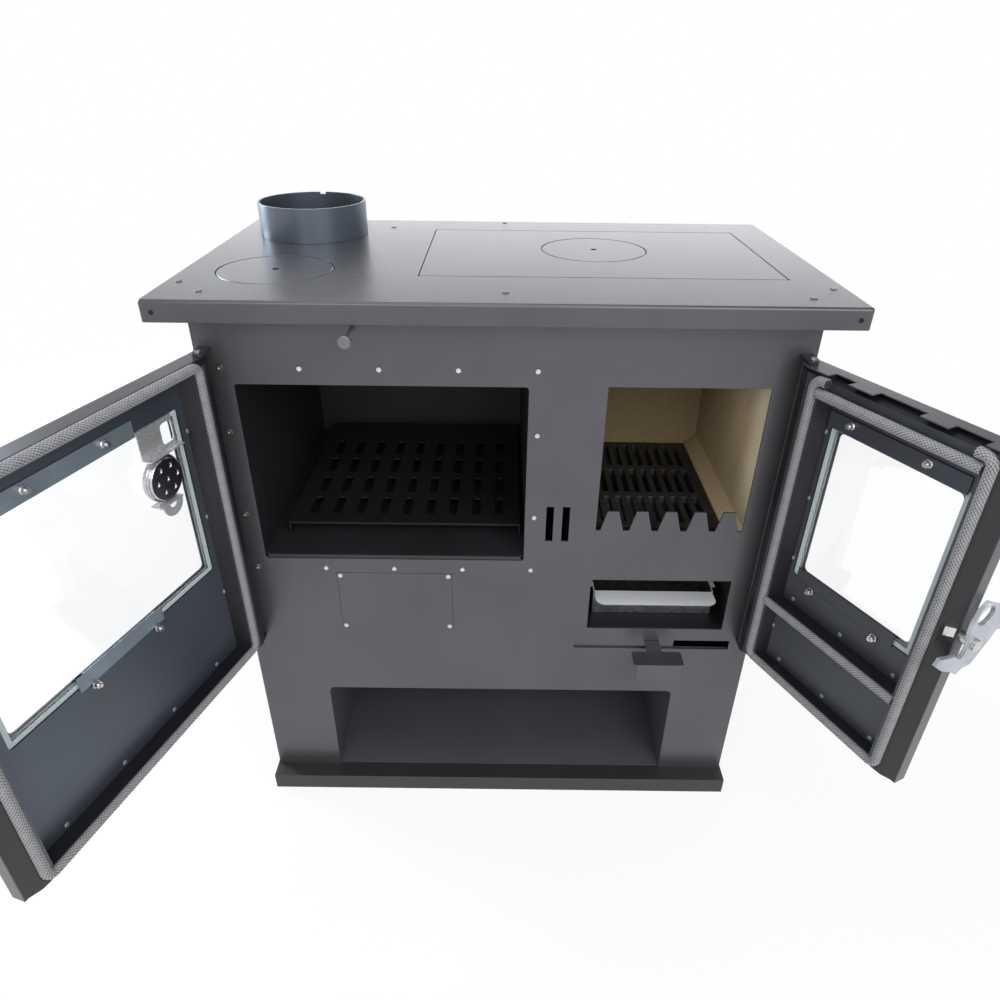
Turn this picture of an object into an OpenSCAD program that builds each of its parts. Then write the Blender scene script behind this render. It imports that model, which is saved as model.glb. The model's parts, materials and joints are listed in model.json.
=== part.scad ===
// Wood cookstove with an oven on the left and a firebox over an ash pan on the right.
// Millimetres. The origin is on the floor under the middle of the body, the front faces -Y.
// Both doors are drawn open, as they stand in the photograph.

/* [Body] */
// Width of the body over its side panels
body_w = 708; // [690:2:740]
// Depth of the body from the front panel to the back panel
body_d = 405; // [400:5:460]
// Height of the plinth
plinth_h = 28; // [22:1:40]
// How far the plinth stands out in front of the body
plinth_out = 24.6; // [10:0.2:30]
// How much wider the plinth is than the body on each side
plinth_side = 2.8; // [0:0.2:6]
// Height of the cooking surface above the floor
top_h = 788.5; // [784:0.5:820]
// Thickness of the front panel
front_t = 3; // [2:0.5:4]
// Thickness of the side, back and base panels
panel_t = 2; // [1.5:0.5:3]

/* [Cooking top] */
// Overhang of the top at the front and sides
top_over = 35; // [28:1:40]
// Overhang of the top at the back
top_back = 10; // [5:1:20]
// Thickness of the top sheet
top_t = 4; // [3:0.5:5]
// Height of the rim turned down around the top
rim_h = 24.2; // [18:0.2:30]
// Thickness of the turned-down rim
rim_t = 3; // [2:0.5:4]
// Width of the lift-out plate
insert_w = 435.5; // [400:0.5:450]
// Depth of the lift-out plate
insert_d = 266; // [240:1:280]
// Thickness of the lift-out plate
insert_t = 8; // [7:0.5:10]
// Distance of the lift-out plate's centre from the right side of the body
insert_in = 239; // [234:1:254]
// Distance of the lift-out plate's centre behind the front panel
insert_y = 211; // [200:1:220]
// Radius of the round lid in the lift-out plate
lid_r = 69.4; // [55:0.2:80]
// Distance of that lid's centre behind the front panel
lid_y = 225.4; // [215:0.2:235]
// Radius of the small round lid over the oven
side_lid_r = 68.4; // [55:0.2:75]
// Distance of the small lid's centre from the left side of the body
side_lid_in = 76.2; // [64:0.2:94]
// Distance of the small lid behind the front panel
side_lid_y = 101; // [95:1:110]
// Depth of the step that a lid hangs on
lid_step = 7.5; // [5:0.5:10]
// Joint between a lift-out piece and its seat
lid_gap = 1.3; // [0.6:0.1:1.5]

/* [Flue] */
// Outer radius of the flue collar
collar_r = 75; // [60:1:78]
// Wall of the flue collar
collar_t = 3; // [2:0.5:5]
// Height of the collar above the cooking surface
collar_h = 45; // [30:1:60]
// Distance of the collar's centre from the left side of the body
collar_in = 78.6; // [74:0.2:84]
// Distance of the collar's centre in front of the back panel
collar_back = 93.7; // [90:0.1:105]
// Distance of the damper rod below the cooking surface
damper_drop = 39.5; // [34.5:0.5:42.5]
// Distance of the damper rod from the left side of the body
damper_in = 182.4; // [169:0.2:194]
// Radius of the damper rod
damper_rod_r = 2.5; // [2:0.25:3]
// Radius of the damper knob
damper_knob_r = 7.7; // [6:0.1:10]
// Distance of the knob's face in front of the front panel
damper_reach = 50; // [44:1:60]

/* [Oven] */
// Distance of the oven mouth from the left side of the body
oven_side_in = 38.5; // [36:0.5:44]
// How far the oven door reaches past the oven mouth at its free end
oven_cover = 22.8; // [22.6:0.1:31]
// Lower edge of the oven mouth
oven_z0 = 440.5; // [436:0.5:448]
// Distance of the oven mouth's upper edge below the cooking surface
oven_drop = 107.5; // [104.5:0.5:128]
// Inner depth of the oven behind the front panel
oven_depth = 384; // [340:1:386]
// Thickness of the oven sheet
oven_t = 1.5; // [1:0.5:3]
// Radius of the rolled lip under the oven mouth
lip_r = 3; // [2:0.5:4]
// Height of the slotted tray's top above the oven floor
tray_h = 20; // [12:1:40]
// Distance of the slotted tray from the oven mouth's left edge
tray_side_gap = 21.5; // [10.5:0.5:35.5]
// Distance of the tray's front edge behind the front panel
tray_y0 = 49; // [30:1:70]
// Depth of the slotted tray
tray_d = 318; // [280:1:325]
// Thickness of the tray sheet
tray_t = 2; // [1:0.5:3]
// Width of a slot in the tray
tray_slot_w = 12; // [6:1:18]
// Length of a slot in the tray
tray_slot_l = 44; // [20:1:50]
// Distance between slots across the tray
tray_pitch_x = 32.5; // [24:0.5:36]
// Distance between rows of slots
tray_pitch_y = 60; // [54:1:66]

/* [Firebox] */
// How far the fire door reaches past the fire and ash mouths at its free end
fire_cover = 28.7; // [26:0.1:34]
// Distance of the fire and ash mouths from the right side of the body
fire_side_in = 42.5; // [40:0.5:50]
// Height of the gullets between the teeth under the fire mouth
gullet_z = 483.2; // [476:0.2:490]
// Height of the tops of the teeth
tooth_z = 512.3; // [500:0.2:520]
// Distance between teeth
tooth_pitch = 37.2; // [36:0.2:38]
// Width of a tooth's flat top
tooth_flat = 14.6; // [10:0.2:18]
// Width of the flat floor of a gullet
gullet_flat = 7.6; // [5:0.2:9]
// Distance of the fire mouth's upper edge below the cooking surface
fire_drop = 106; // [102.5:0.5:128]
// Thickness of the fire bricks
brick_t = 22; // [15:1:24]
// How far the left brick stands back beside the fire mouth
brick_left_in = 8.7; // [6.7:0.1:10.7]
// How far the right brick stands back beside the fire mouth
brick_right_in = 5.5; // [3.5:0.5:10.5]
// Inner face of the back brick behind the front panel
brick_y1 = 300; // [280:1:320]
// Distance of the bricks' tops below the cooking surface
brick_drop = 88.5; // [74:0.5:98]
// Height of the bevel at the foot of the bricks
bevel_h = 16; // [8:1:30]
// Width of the bevel at the foot of the right brick
bevel_w = 18; // [8:1:24]
// Height of the grate's top
grate_z = 464; // [460:1:470]
// Thickness of the grate
grate_t = 12; // [8:1:16]
// Front edge of the grate behind the front panel
grate_y0 = 42; // [38:1:60]
// Distance between the bars of the grate
grate_pitch = 16; // [12:0.5:20]
// Width of a gap between bars
grate_gap = 8; // [5:0.5:10]

/* [Ash and air] */
// Lower edge of the ash mouth
ash_z0 = 318; // [317:0.5:324]
// Upper edge of the ash mouth
ash_z1 = 403.4; // [390:0.2:404]
// Distance of the ash pan from the ash mouth's left edge
pan_left_gap = 10.3; // [7:0.1:20]
// Distance of the ash pan from the ash mouth's right edge
pan_right_gap = 9.5; // [6.5:0.1:20]
// Distance of the pan's front wall behind the front panel
pan_y0 = 35; // [30:1:45]
// Depth of the ash pan
pan_d = 262; // [220:1:270]
// Height of the ash pan
pan_h = 38.7; // [30:0.1:42]
// Depth of the lip at the pan's front
pan_lip = 30; // [15:1:30]
// Sheet of the ash pan
pan_t = 1.5; // [1:0.5:2]
// How far the air slot reaches past the ash mouth on the left
air_left_over = 15.9; // [10.7:0.1:20.7]
// How far the air slot reaches past the ash mouth on the right
air_right_over = 14.8; // [8.5:0.1:18.5]
// Lower edge of the air slot
air_z0 = 281; // [280:0.1:286]
// Height of the air slot
air_h = 16; // [12:0.2:17]
// Distance of the air shutter from the slot's right end, half way along its travel
shutter_back = 78.5; // [70.3:0.1:86.3]
// Length of the air shutter
shutter_l = 150; // [140:1:160]
// Distance of the air tab's neck from the shutter's right edge
tab_back = 32.8; // [25.8:0.1:39.8]
// Width of the air tab
tab_w = 69; // [50:1:80]
// Width of the tab's neck
tab_neck = 21; // [12:1:26]
// Reach of the tab in front of the panel
tab_reach = 51; // [40:1:56]
// Depth of the tab's flat part
tab_d = 28; // [20:1:30]
// Height of the grip bent down from the tab
tab_drop = 27.6; // [15:0.2:32]
// Distance of the wood niche from each side of the body
niche_side = 98; // [74:1:114]
// Height of the niche's ceiling above the floor
niche_z1 = 197.2; // [180:0.2:220]
// Depth of the niche
niche_d = 340; // [250:5:350]
// Radius of the niche's upper corners
niche_r = 8; // [3:1:20]

/* [Doors] */
// Lower edge of both doors
door_z0 = 303.3; // [302:0.1:305]
// Distance of both doors' upper edges below the cooking surface
door_drop = 65.8; // [62.5:0.1:67.5]
// Thickness of both doors from the sealing plane to the outer skin
door_t = 34.6; // [32:0.2:36]
// Width of the oven door
oven_door_w = 405; // [403:0.5:407]
// Width of the fire door
fire_door_w = 262; // [260:0.5:264]
// Sheet of the door skins and inner frames
skin_t = 1.5; // [1:0.25:1.5]
// Depth of the edge turned in around a door
return_d = 15.7; // [13:0.1:17]
// Distance of the hinge pins from the doors' outer ends
pin_u = 12.7; // [12:0.1:14]
// Distance of the hinge pins in front of the front panel
pin_w = 20.2; // [20:0.1:21]
// Radius of the hinge pins
pin_r = 3; // [2.5:0.25:3.5]
// Opening angle of the oven door as drawn
oven_open = 107.8; // [0:0.2:125]
// Opening angle of the fire door as drawn
fire_open = 116.2; // [0:0.2:125]
// Radius of the sealing rope
rope_r = 5.8; // [5:0.1:6.2]
// Gap between the rope and the front panel when a door is shut
rope_gap = 1.2; // [0.6:0.1:2]
// Bend of the rope at the corners
rope_bend = 9; // [8.5:0.5:14]
// Distance of the rope from the hinge end of a door
rope_hinge = 33; // [32:0.5:35]
// Distance of the rope from the free end of the oven door
rope_free_oven = 21.5; // [21.2:0.1:22]
// Distance of the rope from the free end of the fire door
rope_free_fire = 22.6; // [21:0.1:24]
// Height of the lower rope above a door's lower edge
rope_low = 14; // [13:0.5:16]
// Distance of the oven door's top rope below its upper edge
rope_top_oven = 4; // [3:0.5:7]
// Distance of the fire door's turned-in rope ends below its upper edge
rope_top_fire = 9.5; // [9:0.5:12]
// Height of the rope between fire and ash parts of the fire door
rope_mid_z = 412.6; // [408:0.2:418]
// Distance of the fire door's upper rope below the door's upper edge
rope_up_drop = 23.2; // [21:0.1:26.5]
// Depth of the inner panel behind the sealing plane
panel_w = 24.8; // [22:0.2:25.5]
// Thickness of the door glass
glass_t = 4; // [3:0.5:4]
// Width of the tape around the glass
tape_w = 6; // [4:0.5:8]

/* [Door glass] */
// Hinge-side edge of the oven door's glass
oven_glass_u0 = 58.2; // [56:0.2:64]
// Distance of the oven door's glass from the door's free end
oven_glass_free = 48.9; // [39:0.1:65]
// Distance of the oven door's glass below the door's upper edge
oven_glass_drop = 45.4; // [39:0.1:57]
// Hinge-side edge of the fire door's glass
fire_glass_u0 = 54; // [53:0.5:60]
// Distance of the fire door's glass from the door's free end
fire_glass_free = 39.6; // [39:0.1:52]
// Distance of the fire door's glass below the door's upper edge
fire_glass_drop = 57.2; // [55:0.1:72]
// Lower edge of both glasses
glass_z0 = 460.2; // [450:0.2:470]

/* [Latches] */
// Height of the latch pivots
latch_z = 520; // [516:1:524]
// Distance of the latch pivots from the sealing plane
latch_w = 28.3; // [27:0.1:29]
// Thickness of a latch lever
latch_t = 5; // [4:0.5:5.5]
// Radius of a latch pivot
latch_r = 4; // [3:0.5:5]
// Gap between the oven door's free end and its lever
oven_lever_gap = 5.9; // [5:0.1:6.5]
// Gap between the fire door's free end and its lever
fire_lever_gap = 7.3; // [6.5:0.1:8]
// Width of a latch slot
slot_w = 9.4; // [9:0.1:10]
// Lower edge of the latch slots
slot_z0 = 465.5; // [460:0.5:468]
// Upper edge of the latch slots
slot_z1 = 518.3; // [518:0.1:520]
// Reach of the lever's nose behind the sealing plane
nose_reach = 22; // [15:1:23]
// Reach of the lever's handle from the sealing plane
handle_reach = 150; // [110:1:170]
// Width of the lever's handle
handle_w = 25.7; // [20:0.1:30]

/* [Hidden] */
$fn = 48;
eps = 0.01;
seat_gap = 0.3;
run_gap = 0.06;

side_x = body_w / 2;
front_y = -body_d / 2;
collar_y = body_d - collar_back;
damper_z = top_h - damper_drop;
oven_z1 = top_h - oven_drop;
fire_z1 = top_h - fire_drop;
brick_top = top_h - brick_drop;
door_z1 = top_h - door_drop;
rope_up_z = door_z1 - rope_up_drop;
oven_glass_z1 = door_z1 - oven_glass_drop;
fire_glass_z1 = door_z1 - fire_glass_drop;
oven_x0 = oven_side_in - side_x;
oven_x1 = oven_door_w - oven_cover - side_x;
tray_x0 = oven_x0 + tray_side_gap;
fire_x0 = side_x - fire_door_w + fire_cover;
fire_x1 = side_x - fire_side_in;
brick_x0 = fire_x0 - brick_left_in;
brick_x1 = fire_x1 + brick_right_in;
pan_x0 = fire_x0 + pan_left_gap;
pan_x1 = fire_x1 - pan_right_gap;
air_x0 = fire_x0 - air_left_over;
air_x1 = fire_x1 + air_right_over;
shutter_x1 = air_x1 - shutter_back;
tab_x = shutter_x1 - tab_back;
niche_half = side_x - niche_side;
oven_glass_u1 = oven_door_w - oven_glass_free;
fire_glass_u1 = fire_door_w - fire_glass_free;
side_lid_x = side_lid_in - side_x;
collar_x = collar_in - side_x;
damper_x = damper_in - side_x;
insert_x = side_x - insert_in;
slot_play = 1;
oven_lever_u = oven_door_w + oven_lever_gap;
fire_lever_u = fire_door_w + fire_lever_gap;
slot_a_x = oven_lever_u + latch_t / 2 + slot_play - side_x;
slot_b_x = side_x - fire_lever_u - latch_t / 2 - slot_play;
back_y = body_d / 2;
plate_z = top_h - top_t;
rim_z = top_h - rim_h;
top_x = side_x + top_over;
top_y0 = front_y - top_over;
top_y1 = back_y + top_back;
insert_z = top_h - insert_t;
step_z = top_h - insert_t / 2;
floor_z = plinth_h + panel_t;
oven_floor = oven_z0 - 0.5;
ash_floor = ash_z0 + 0.2;
oven_roof = oven_z1 + 2;
oven_side = 1;
tray_x1 = oven_x1 - 4;
tray_z = oven_floor + tray_h;
fire_mid = (fire_x0 + fire_x1) / 2;
shell_t = 2;
shell_x0 = brick_x0 - brick_t - shell_t;
shell_x1 = brick_x1 + brick_t + shell_t;
shell_y1 = brick_y1 + brick_t + shell_t;
grate_x0 = brick_x0 + 4;
grate_x1 = brick_x1 - bevel_w - 1;
grate_bottom = grate_z - grate_t;
air_z1 = air_z0 + air_h;
rope_w = rope_gap + rope_r;
rope_fit = 0.4;
groove_w = rope_w + rope_r + 0.1;
face_w = 6.5;
chamfer_w = door_t - return_d;
chamfer_u = 20;
knee_u = 11.8;
knee_w = 8.3;
pocket_u = rope_hinge + rope_r + 1.5;
pocket_slope = 8.5;
glass_inset = 1.5;
tape_inset = 0.5;
tape_t = 0.8;
glass_w = panel_w + skin_t + tape_t;
skin_in = door_t - skin_t;
white = [0.86, 0.87, 0.88];
paint = [0.42, 0.43, 0.45];
dark_paint = [0.24, 0.25, 0.27];
steel = [0.66, 0.67, 0.68];
zinc = [0.78, 0.79, 0.8];
rope_grey = [0.55, 0.56, 0.57];
iron = [0.2, 0.2, 0.21];
clay = [0.72, 0.64, 0.52];

// A box given by its two opposite corners
module slab(a, b) {
    translate(a) cube(b - a);
}

// A flat rectangle with round corners, from corner a to corner b
module round_rect(a, b, r) {
    translate([a[0] + r, a[1]]) square([b[0] - a[0] - 2 * r, b[1] - a[1]]);
    translate([a[0], a[1] + r]) square([b[0] - a[0], b[1] - a[1] - 2 * r]);
    for (x = [a[0] + r, b[0] - r])
        for (y = [a[1] + r, b[1] - r])
            translate([x, y]) circle(r);
}

// A flat outline drawn in x and z, standing up and running from y0 to y1
module upright(y0, y1) {
    translate([0, y1, 0]) rotate([90, 0, 0]) linear_extrude(y1 - y0) children();
}

// A flat outline drawn in y and z, standing up and running from x0 to x1
module crosswise(x0, x1) {
    translate([x0, 0, 0])
        multmatrix([[0, 0, 1, 0], [1, 0, 0, 0], [0, 1, 0, 0], [0, 0, 0, 1]])
            linear_extrude(x1 - x0) children();
}

// The part of a torus that bends a rope of radius r by a quarter turn, from +X to +Y
module rope_corner(bend, r) {
    rotate_extrude(angle = 90, $fn = 64) translate([bend, 0]) circle(r, $fn = 32);
}

// A row of rivet heads standing on the front panel
module rivet_head(x, z, y, r, h) {
    translate([x, y, z]) rotate([90, 0, 0]) difference() {
        cylinder(r1 = r, r2 = r * 0.8, h = h, $fn = 32);
        translate([0, 0, h - 0.8]) cylinder(r = r * 0.35, h = 1, $fn = 24);
    }
}

// Body

module plinth() {
    x = side_x + plinth_side;
    y0 = front_y - plinth_out;
    wall = 2;
    ledge = 50;
    color(dark_paint) difference() {
        slab([-x, y0, 0], [x, back_y, plinth_h]);
        slab([-x + wall, y0 + wall, wall], [x - wall, back_y - wall, plinth_h - wall]);
        slab([-x + ledge, y0 + plinth_out + ledge, plinth_h / 2],
            [x - ledge, back_y - ledge, plinth_h + 1]);
    }
}

module base_panel() {
    color(dark_paint) slab([-side_x + panel_t, front_y + front_t, plinth_h],
        [side_x - panel_t, back_y - panel_t, floor_z]);
}

// Outline of the fire mouth, with the row of teeth along its lower edge
module fire_mouth() {
    teeth = 5;
    slope = (tooth_pitch - tooth_flat - gullet_flat) / 2;
    half = tooth_flat / 2;
    tooth_points = [for (i = [0:teeth - 1], p = [[-half - slope, gullet_z], [-half, tooth_z],
        [half, tooth_z], [half + slope, gullet_z]])
        [fire_mid + (i - (teeth - 1) / 2) * tooth_pitch + p[0], p[1]]];
    polygon(concat([[fire_x0, fire_z1], [fire_x0, gullet_z]], tooth_points,
        [[fire_x1, gullet_z], [fire_x1, fire_z1]]));
}

soot_x0 = oven_x0 + 91.9;
soot_x1 = oven_x1 - 96.6;
soot_z0 = door_z0 + 11.2;
soot_z1 = oven_z0 - 29.9;
soot_t = 2;
soot_proud = 0.3;

module front_panel() {
    y1 = front_y + front_t;
    color(paint) difference() {
        slab([-side_x, front_y, plinth_h], [side_x, y1, plate_z]);
        upright(front_y - 1, y1 + 1) {
            round_rect([oven_x0, oven_floor - 2 * lip_r - seat_gap], [oven_x1, oven_z1], 4);
            fire_mouth();
            round_rect([fire_x0, ash_z0], [fire_x1, ash_z1], 2);
            round_rect([-niche_half, plinth_h - 2 * niche_r], [niche_half, niche_z1], niche_r);
            for (x = [slot_a_x, slot_b_x])
                translate([x - slot_w / 2, slot_z0]) square([slot_w, slot_z1 - slot_z0]);
            translate([air_x0, air_z0]) square([air_x1 - air_x0, air_h]);
            translate([soot_x0 + 18, soot_z0 + 18])
                square([soot_x1 - soot_x0 - 36, soot_z1 - soot_z0 - 36]);
        }
        slab([soot_x0 - 0.3, front_y - 1, soot_z0 - 0.3],
            [soot_x1 + 0.3, front_y + soot_t - soot_proud, soot_z1 + 0.3]);
        translate([damper_x, y1 + 1, damper_z]) rotate([90, 0, 0])
            cylinder(r = damper_rod_r + run_gap, h = front_t + 2);
    }
}

module side_panel(s) {
    color(paint) slab([min(s * side_x, s * (side_x - panel_t)), front_y + front_t, plinth_h],
        [max(s * side_x, s * (side_x - panel_t)), back_y, plate_z]);
}

module left_panel() {
    side_panel(-1);
}

module right_panel() {
    side_panel(1);
}

// Back panel, with a stiffening bead pressed around its middle
module back_panel() {
    bead = 1.2;
    color(paint) difference() {
        union() {
            slab([-side_x + panel_t, back_y - panel_t, plinth_h],
                [side_x - panel_t, back_y, plate_z]);
            slab([-side_x + 60, back_y - eps, plinth_h + 60], [side_x - 60, back_y + bead, plate_z - 60]);
        }
        slab([-side_x + 68, back_y, plinth_h + 68], [side_x - 68, back_y + bead + 1, plate_z - 68]);
    }
}

module niche_liner() {
    y0 = front_y + front_t;
    y1 = front_y + niche_d;
    t = 1.5;
    color(dark_paint) difference() {
        slab([-niche_half - t, y0, floor_z], [niche_half + t, y1 + t, niche_z1 + t]);
        slab([-niche_half, y0 - 1, floor_z - 1], [niche_half, y1, niche_z1]);
    }
}

module oven_box() {
    y0 = front_y + front_t;
    y1 = front_y + oven_depth;
    x0 = oven_x0 - oven_side;
    x1 = oven_x1 + oven_side;
    lip_end = 4;
    lip_proud = 0.8;
    color(dark_paint) {
        difference() {
            slab([x0 - oven_t, y0, oven_floor - oven_t], [x1 + oven_t, y1 + oven_t, oven_roof + oven_t]);
            slab([x0, y0 - 1, oven_floor], [x1, y1, oven_roof]);
        }
        translate([oven_x0 + lip_end, front_y + lip_r - lip_proud, oven_floor - lip_r]) rotate([0, 90, 0])
            cylinder(r = lip_r, h = oven_x1 - oven_x0 - 2 * lip_end, $fn = 32);
        slab([oven_x0 + lip_end, front_y + lip_r - lip_proud, oven_floor - oven_t],
            [oven_x1 - lip_end, y0 + eps, oven_floor]);
    }
}

// Slotted tray that stands on the oven floor on its turned-down sides and back
module oven_tray() {
    tray_lip = tray_t + 1;
    y0 = front_y + tray_y0;
    y1 = y0 + tray_d;
    rows = 4;
    columns = 9;
    x_mid = (tray_x0 + tray_x1) / 2;
    color(iron) difference() {
        slab([tray_x0, y0, oven_floor + seat_gap], [tray_x1, y1, tray_z]);
        slab([tray_x0 + tray_t, y0 + tray_t, oven_floor], [tray_x1 - tray_t, y1 - tray_t, tray_z - tray_t]);
        slab([tray_x0 + tray_t, y0 - 1, oven_floor], [tray_x1 - tray_t, y0 + tray_t + 1, tray_z - tray_lip]);
        for (i = [0:columns - 1])
            for (j = [0:rows - 1])
                translate([x_mid + (i - (columns - 1) / 2) * tray_pitch_x,
                    y0 + 24 + tray_slot_l / 2 + j * tray_pitch_y, tray_z - tray_t - 1])
                    linear_extrude(tray_t + 2)
                        round_rect([-tray_slot_w / 2, -tray_slot_l / 2],
                            [tray_slot_w / 2, tray_slot_l / 2], tray_slot_w / 2 - 0.5);
    }
}

rivet_r = 3.7;
rivet_h = 1.7;

// Rivets that hold the oven to the front panel, in rows and columns round its mouth
module front_rivets() {
    columns = 5;
    left = oven_x0 - 12.5;
    right = oven_x1 + 9.8;
    top_row_z = oven_z1 + 20.2;
    low_row_z = oven_z0 - 21.6;
    side_inset = 61.8;
    column_out = [-3, 2];
    color(zinc) {
        for (i = [0:columns - 1])
            for (z = [low_row_z, top_row_z])
                rivet_head(left + i * (right - left) / (columns - 1), z, front_y, rivet_r, rivet_h);
        for (z = [oven_z0 + side_inset, oven_z1 - side_inset]) {
            rivet_head(left + column_out[0], z, front_y, rivet_r, rivet_h);
            rivet_head(right + column_out[1], z, front_y, rivet_r, rivet_h);
        }
    }
}

// Flush cover over the soot door under the oven
module soot_cover() {
    y = front_y - soot_proud;
    color(paint) slab([soot_x0, y, soot_z0], [soot_x1, y + soot_t, soot_z1]);
}

// Flat rivets at the corners of the soot cover
module soot_rivets() {
    inset = 4.5;
    color(zinc)
        for (x = [soot_x0 + inset, soot_x1 - inset])
            for (z = [soot_z0 + inset, soot_z1 - inset])
                translate([x, front_y - soot_proud, z]) rotate([90, 0, 0])
                    cylinder(r = 3.2, h = 0.6, $fn = 32);
}

lug_t = 3;
lug_gap = 0.6;
lug_half = 7;

// One lug that carries the end of a hinge pin in front of the front panel
module hinge_lug(s, z) {
    x = s * (side_x - pin_u);
    y = front_y - pin_w;
    difference() {
        union() {
            slab([x - lug_half, y, z], [x + lug_half, front_y, z + lug_t]);
            translate([x, y, z]) cylinder(r = lug_half, h = lug_t);
        }
        translate([x, y, z - 1]) cylinder(r = pin_r + run_gap, h = lug_t + 2);
    }
}

module hinge_lugs() {
    color(paint)
        for (s = [-1, 1]) {
            hinge_lug(s, door_z1 + lug_gap);
            hinge_lug(s, door_z0 - lug_gap - lug_t);
        }
}

// Firebox

floor_t = 3;
shell_floor = grate_bottom - floor_t;

module firebox_shell() {
    y0 = front_y + front_t;
    y1 = front_y + shell_y1;
    ledge = 5;
    color(iron) difference() {
        slab([shell_x0, y0, shell_floor], [shell_x1, y1, brick_top + 2]);
        slab([shell_x0 + shell_t, y0 - 1, grate_bottom], [shell_x1 - shell_t, y1 - shell_t, brick_top + 3]);
        slab([grate_x0 + ledge, front_y + grate_y0 + ledge, shell_floor - 1],
            [grate_x1 - ledge, front_y + brick_y1 - ledge - 2, grate_bottom + 1]);
    }
}

// A side brick, with the bevel at its foot that guides the embers onto the grate
module side_brick(outer_x, inner_x, foot_x) {
    upright(front_y + front_t + 0.5, front_y + brick_y1 + brick_t)
        polygon([[outer_x, grate_bottom], [foot_x, grate_bottom], [foot_x, grate_z],
            [inner_x, grate_z + bevel_h], [inner_x, brick_top], [outer_x, brick_top]]);
}

module brick_left() {
    color(clay) side_brick(brick_x0 - brick_t, brick_x0, grate_x0 - 1);
}

module brick_right() {
    color(clay) side_brick(brick_x1 + brick_t, brick_x1, grate_x1 + 1);
}

module brick_back() {
    color(clay) difference() {
        slab([brick_x0, front_y + brick_y1, grate_bottom],
            [brick_x1, front_y + brick_y1 + brick_t, brick_top]);
        brick_left();
        brick_right();
    }
}

// Cast grate: three rows of slanting gaps in an iron frame
module grate() {
    y0 = front_y + grate_y0;
    y1 = front_y + brick_y1 - 2;
    border = 12;
    rows = 3;
    bar = 14;
    row_l = (y1 - y0 - 2 * border - (rows - 1) * bar) / rows;
    gaps = floor((grate_x1 - grate_x0 - 2 * border + grate_pitch - grate_gap) / grate_pitch);
    x_mid = (grate_x0 + grate_x1) / 2;
    color(iron) difference() {
        slab([grate_x0, y0, grate_bottom], [grate_x1, y1, grate_z]);
        for (j = [0:rows - 1])
            for (i = [0:gaps - 1])
                translate([x_mid + (i - (gaps - 1) / 2) * grate_pitch - grate_gap / 2,
                    y0 + border + j * (row_l + bar), grate_bottom - 1])
                    cube([grate_gap, row_l, grate_t + 2]);
    }
}

ash_side = 4;

// Sheet box under the firebox that takes the ash pan and the primary air
module ash_box() {
    y0 = front_y + front_t;
    y1 = front_y + shell_y1;
    x0 = fire_x0 - ash_side;
    x1 = fire_x1 + ash_side;
    t = 1.5;
    inlet_d = 40;
    color(iron) difference() {
        slab([x0 - t, y0, ash_floor - t], [x1 + t, y1, shell_floor]);
        slab([x0, y0 - 1, ash_floor], [x1, y1 - t, shell_floor + 1]);
        slab([x0 + 20, y1 - inlet_d, ash_floor - t - 1], [x1 - 20, y1 - 20, ash_floor + 1]);
    }
}

module ash_pan() {
    y0 = front_y + pan_y0;
    y1 = y0 + pan_d;
    z0 = ash_floor + seat_gap;
    z1 = z0 + pan_h;
    corner = 12;
    rim = 6;
    color(white) {
        difference() {
            slab([pan_x0, y0, z0], [pan_x1, y1, z1]);
            slab([pan_x0 + pan_t, y0 + pan_t, z0 + pan_t], [pan_x1 - pan_t, y1 - pan_t, z1 + 1]);
        }
        difference() {
            translate([0, 0, z1 - pan_t]) linear_extrude(pan_t)
                round_rect([pan_x0 + 1, y0 - pan_lip], [pan_x1 - 1, y0 + corner + 2], corner);
            slab([pan_x0 + pan_t, y0 + pan_t, z1 - pan_t - 1], [pan_x1 - pan_t, y1, z1 + 1]);
        }
        for (s = [0, 1])
            slab([s == 0 ? pan_x0 - rim : pan_x1 - eps, y0 + corner, z1 - pan_t],
                [s == 0 ? pan_x0 + eps : pan_x1 + rim, y1, z1]);
    }
}

// Air control

rail_gap = 0.3;
shutter_t = 2;
shutter_lap = 5;
rail_lap = 6;

module air_shutter() {
    y0 = front_y + front_t + rail_gap;
    tab_t = 2;
    play = 0.5;
    z = air_z1 - play - tab_t;
    y_edge = front_y - tab_reach;
    grip_r = 1.8;
    color(steel) {
        slab([shutter_x1 - shutter_l, y0, air_z0 - shutter_lap],
            [shutter_x1, y0 + shutter_t, air_z1 + shutter_lap]);
        slab([tab_x - tab_neck / 2, y_edge + tab_d - 2, z], [tab_x + tab_neck / 2, y0 + eps, z + tab_t]);
        translate([0, 0, z]) linear_extrude(tab_t)
            round_rect([tab_x + 2 - tab_w / 2, y_edge], [tab_x + 2 + tab_w / 2, y_edge + tab_d], 4);
        translate([0, y_edge, 0]) upright(0, tab_t)
            round_rect([tab_x + 6 - tab_w / 2, z - tab_drop], [tab_x - 2 + tab_w / 2, z + tab_t], grip_r);
    }
}

// Two channels behind the front panel that the shutter runs in
module air_rails() {
    y0 = front_y + front_t;
    y1 = y0 + rail_gap * 2 + shutter_t;
    x0 = shutter_x1 - shutter_l - 78;
    x1 = shutter_x1 + 78;
    lip = 1.5;
    low = air_z0 - shutter_lap - seat_gap;
    high = air_z1 + shutter_lap + seat_gap;
    color(steel) {
        slab([x0, y0, low - rail_lap], [x1, y1 + lip, low]);
        slab([x0, y1, low - eps], [x1, y1 + lip, low + 4]);
        slab([x0, y0, high], [x1, y1 + lip, high + rail_lap]);
        slab([x0, y1, high - 4], [x1, y1 + lip, high + eps]);
    }
}

// Flue path

baffle_t = 2;
damper_t = 2.5;
damper_plate_z = damper_z - damper_rod_r - damper_t;
baffle_z = damper_plate_z - seat_gap - baffle_t;
port_r = 60;

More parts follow.
